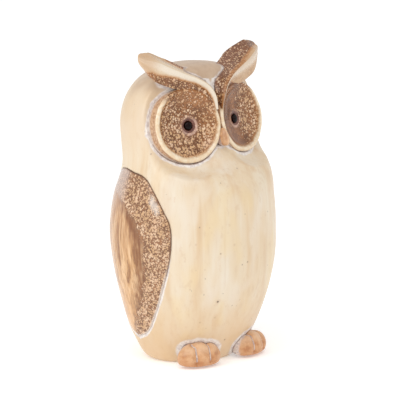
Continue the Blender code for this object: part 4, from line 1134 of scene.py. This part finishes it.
clouds = {
    "foot": np.concatenate([foot(s, "", None, make=False) for s in (1, -1)]),
    "tuft": np.concatenate([ear_tuft(s, "", None, make=False) for s in (1, -1)]),
    "beak": beak(None, make=False),
}
body_shell([cream, clay], clouds)
base_slab(clay)
beak(beak_mat)
for side, word in ((-1, "right"), (1, "left")):
    eye_dish(side, word, dish_mat)
    eye_bead(side, word, bead_mat)
    ear_tuft(side, word, tuft_mat)
    wing(side, word, wing_mat)
    foot(side, word, foot_mat)


# ---------------------------------------------------------------- stage, light and camera
def stage_floor():
    mesh = bpy.data.meshes.new("floor")
    r = 8.0
    mesh.from_pydata([(-r, -r, 0), (r, -r, 0), (r, r, 0), (-r, r, 0)], [], [(0, 1, 2, 3)])
    g = Glaze("floor_paper")
    grain = g.noise(40.0, 3.0)
    mesh.materials.append(g.finish(g.mix(grain, (0.92, 0.92, 0.92, 1), (0.94, 0.94, 0.94, 1)), 0.9, specular=0.1))
    g.shader.inputs["Emission Color"].default_value = (1, 1, 1, 1)
    g.shader.inputs["Emission Strength"].default_value = 0.27
    floor = bpy.data.objects.new("floor", mesh)
    bpy.context.scene.collection.objects.link(floor)


def softbox(name, azimuth, elevation, distance, width, height, power, colour=(1, 1, 1)):
    a, e = math.radians(azimuth), math.radians(elevation)
    aim = Vector((0, 0, 0.10))
    place = aim + distance * Vector((math.sin(a) * math.cos(e), -math.cos(a) * math.cos(e), math.sin(e)))
    light = bpy.data.lights.new(name, "AREA")
    light.shape, light.size, light.size_y, light.energy, light.color = "RECTANGLE", width, height, power, colour
    obj = bpy.data.objects.new(name, light)
    obj.location = place
    obj.rotation_euler = (aim - place).to_track_quat("-Z", "Y").to_euler()
    bpy.context.scene.collection.objects.link(obj)
    return obj


stage_floor()
softbox("key", -92, 34, 1.5, 0.6, 0.9, 5.2)
softbox("front", -38, 52, 1.7, 0.9, 0.5, 3.6)
softbox("fill", 45, 25, 1.8, 0.4, 0.9, 0.8)
world = bpy.data.worlds.new("studio")
world.use_nodes = True
world.node_tree.nodes["Background"].inputs["Color"].default_value = (1, 1, 1, 1)
world.node_tree.nodes["Background"].inputs["Strength"].default_value = 0.82
bpy.context.scene.world = world
bpy.context.scene.view_settings.view_transform = "Standard"
bpy.context.scene.view_settings.look = "None"

VIEW_AZIMUTH, VIEW_ELEVATION, VIEW_DISTANCE, VIEW_ANGLE = -43.0, 11.5, 1.7, 8.67
a, e = math.radians(VIEW_AZIMUTH), math.radians(VIEW_ELEVATION)
aim = Vector((0.0, SHIFT * MM, 0.1005)) + Vector((math.cos(a), math.sin(a), 0)) * 0.00515
camera_data = bpy.data.cameras.new("camera")
camera_data.sensor_fit = "HORIZONTAL"
camera_data.angle = math.radians(VIEW_ANGLE)
camera_data.clip_start, camera_data.clip_end = 0.05, 60.0
camera = bpy.data.objects.new("camera", camera_data)
camera.location = aim + VIEW_DISTANCE * Vector((math.sin(a) * math.cos(e), -math.cos(a) * math.cos(e), math.sin(e)))
camera.rotation_euler = (aim - camera.location).to_track_quat("-Z", "Y").to_euler()
bpy.context.scene.collection.objects.link(camera)
bpy.context.scene.camera = camera
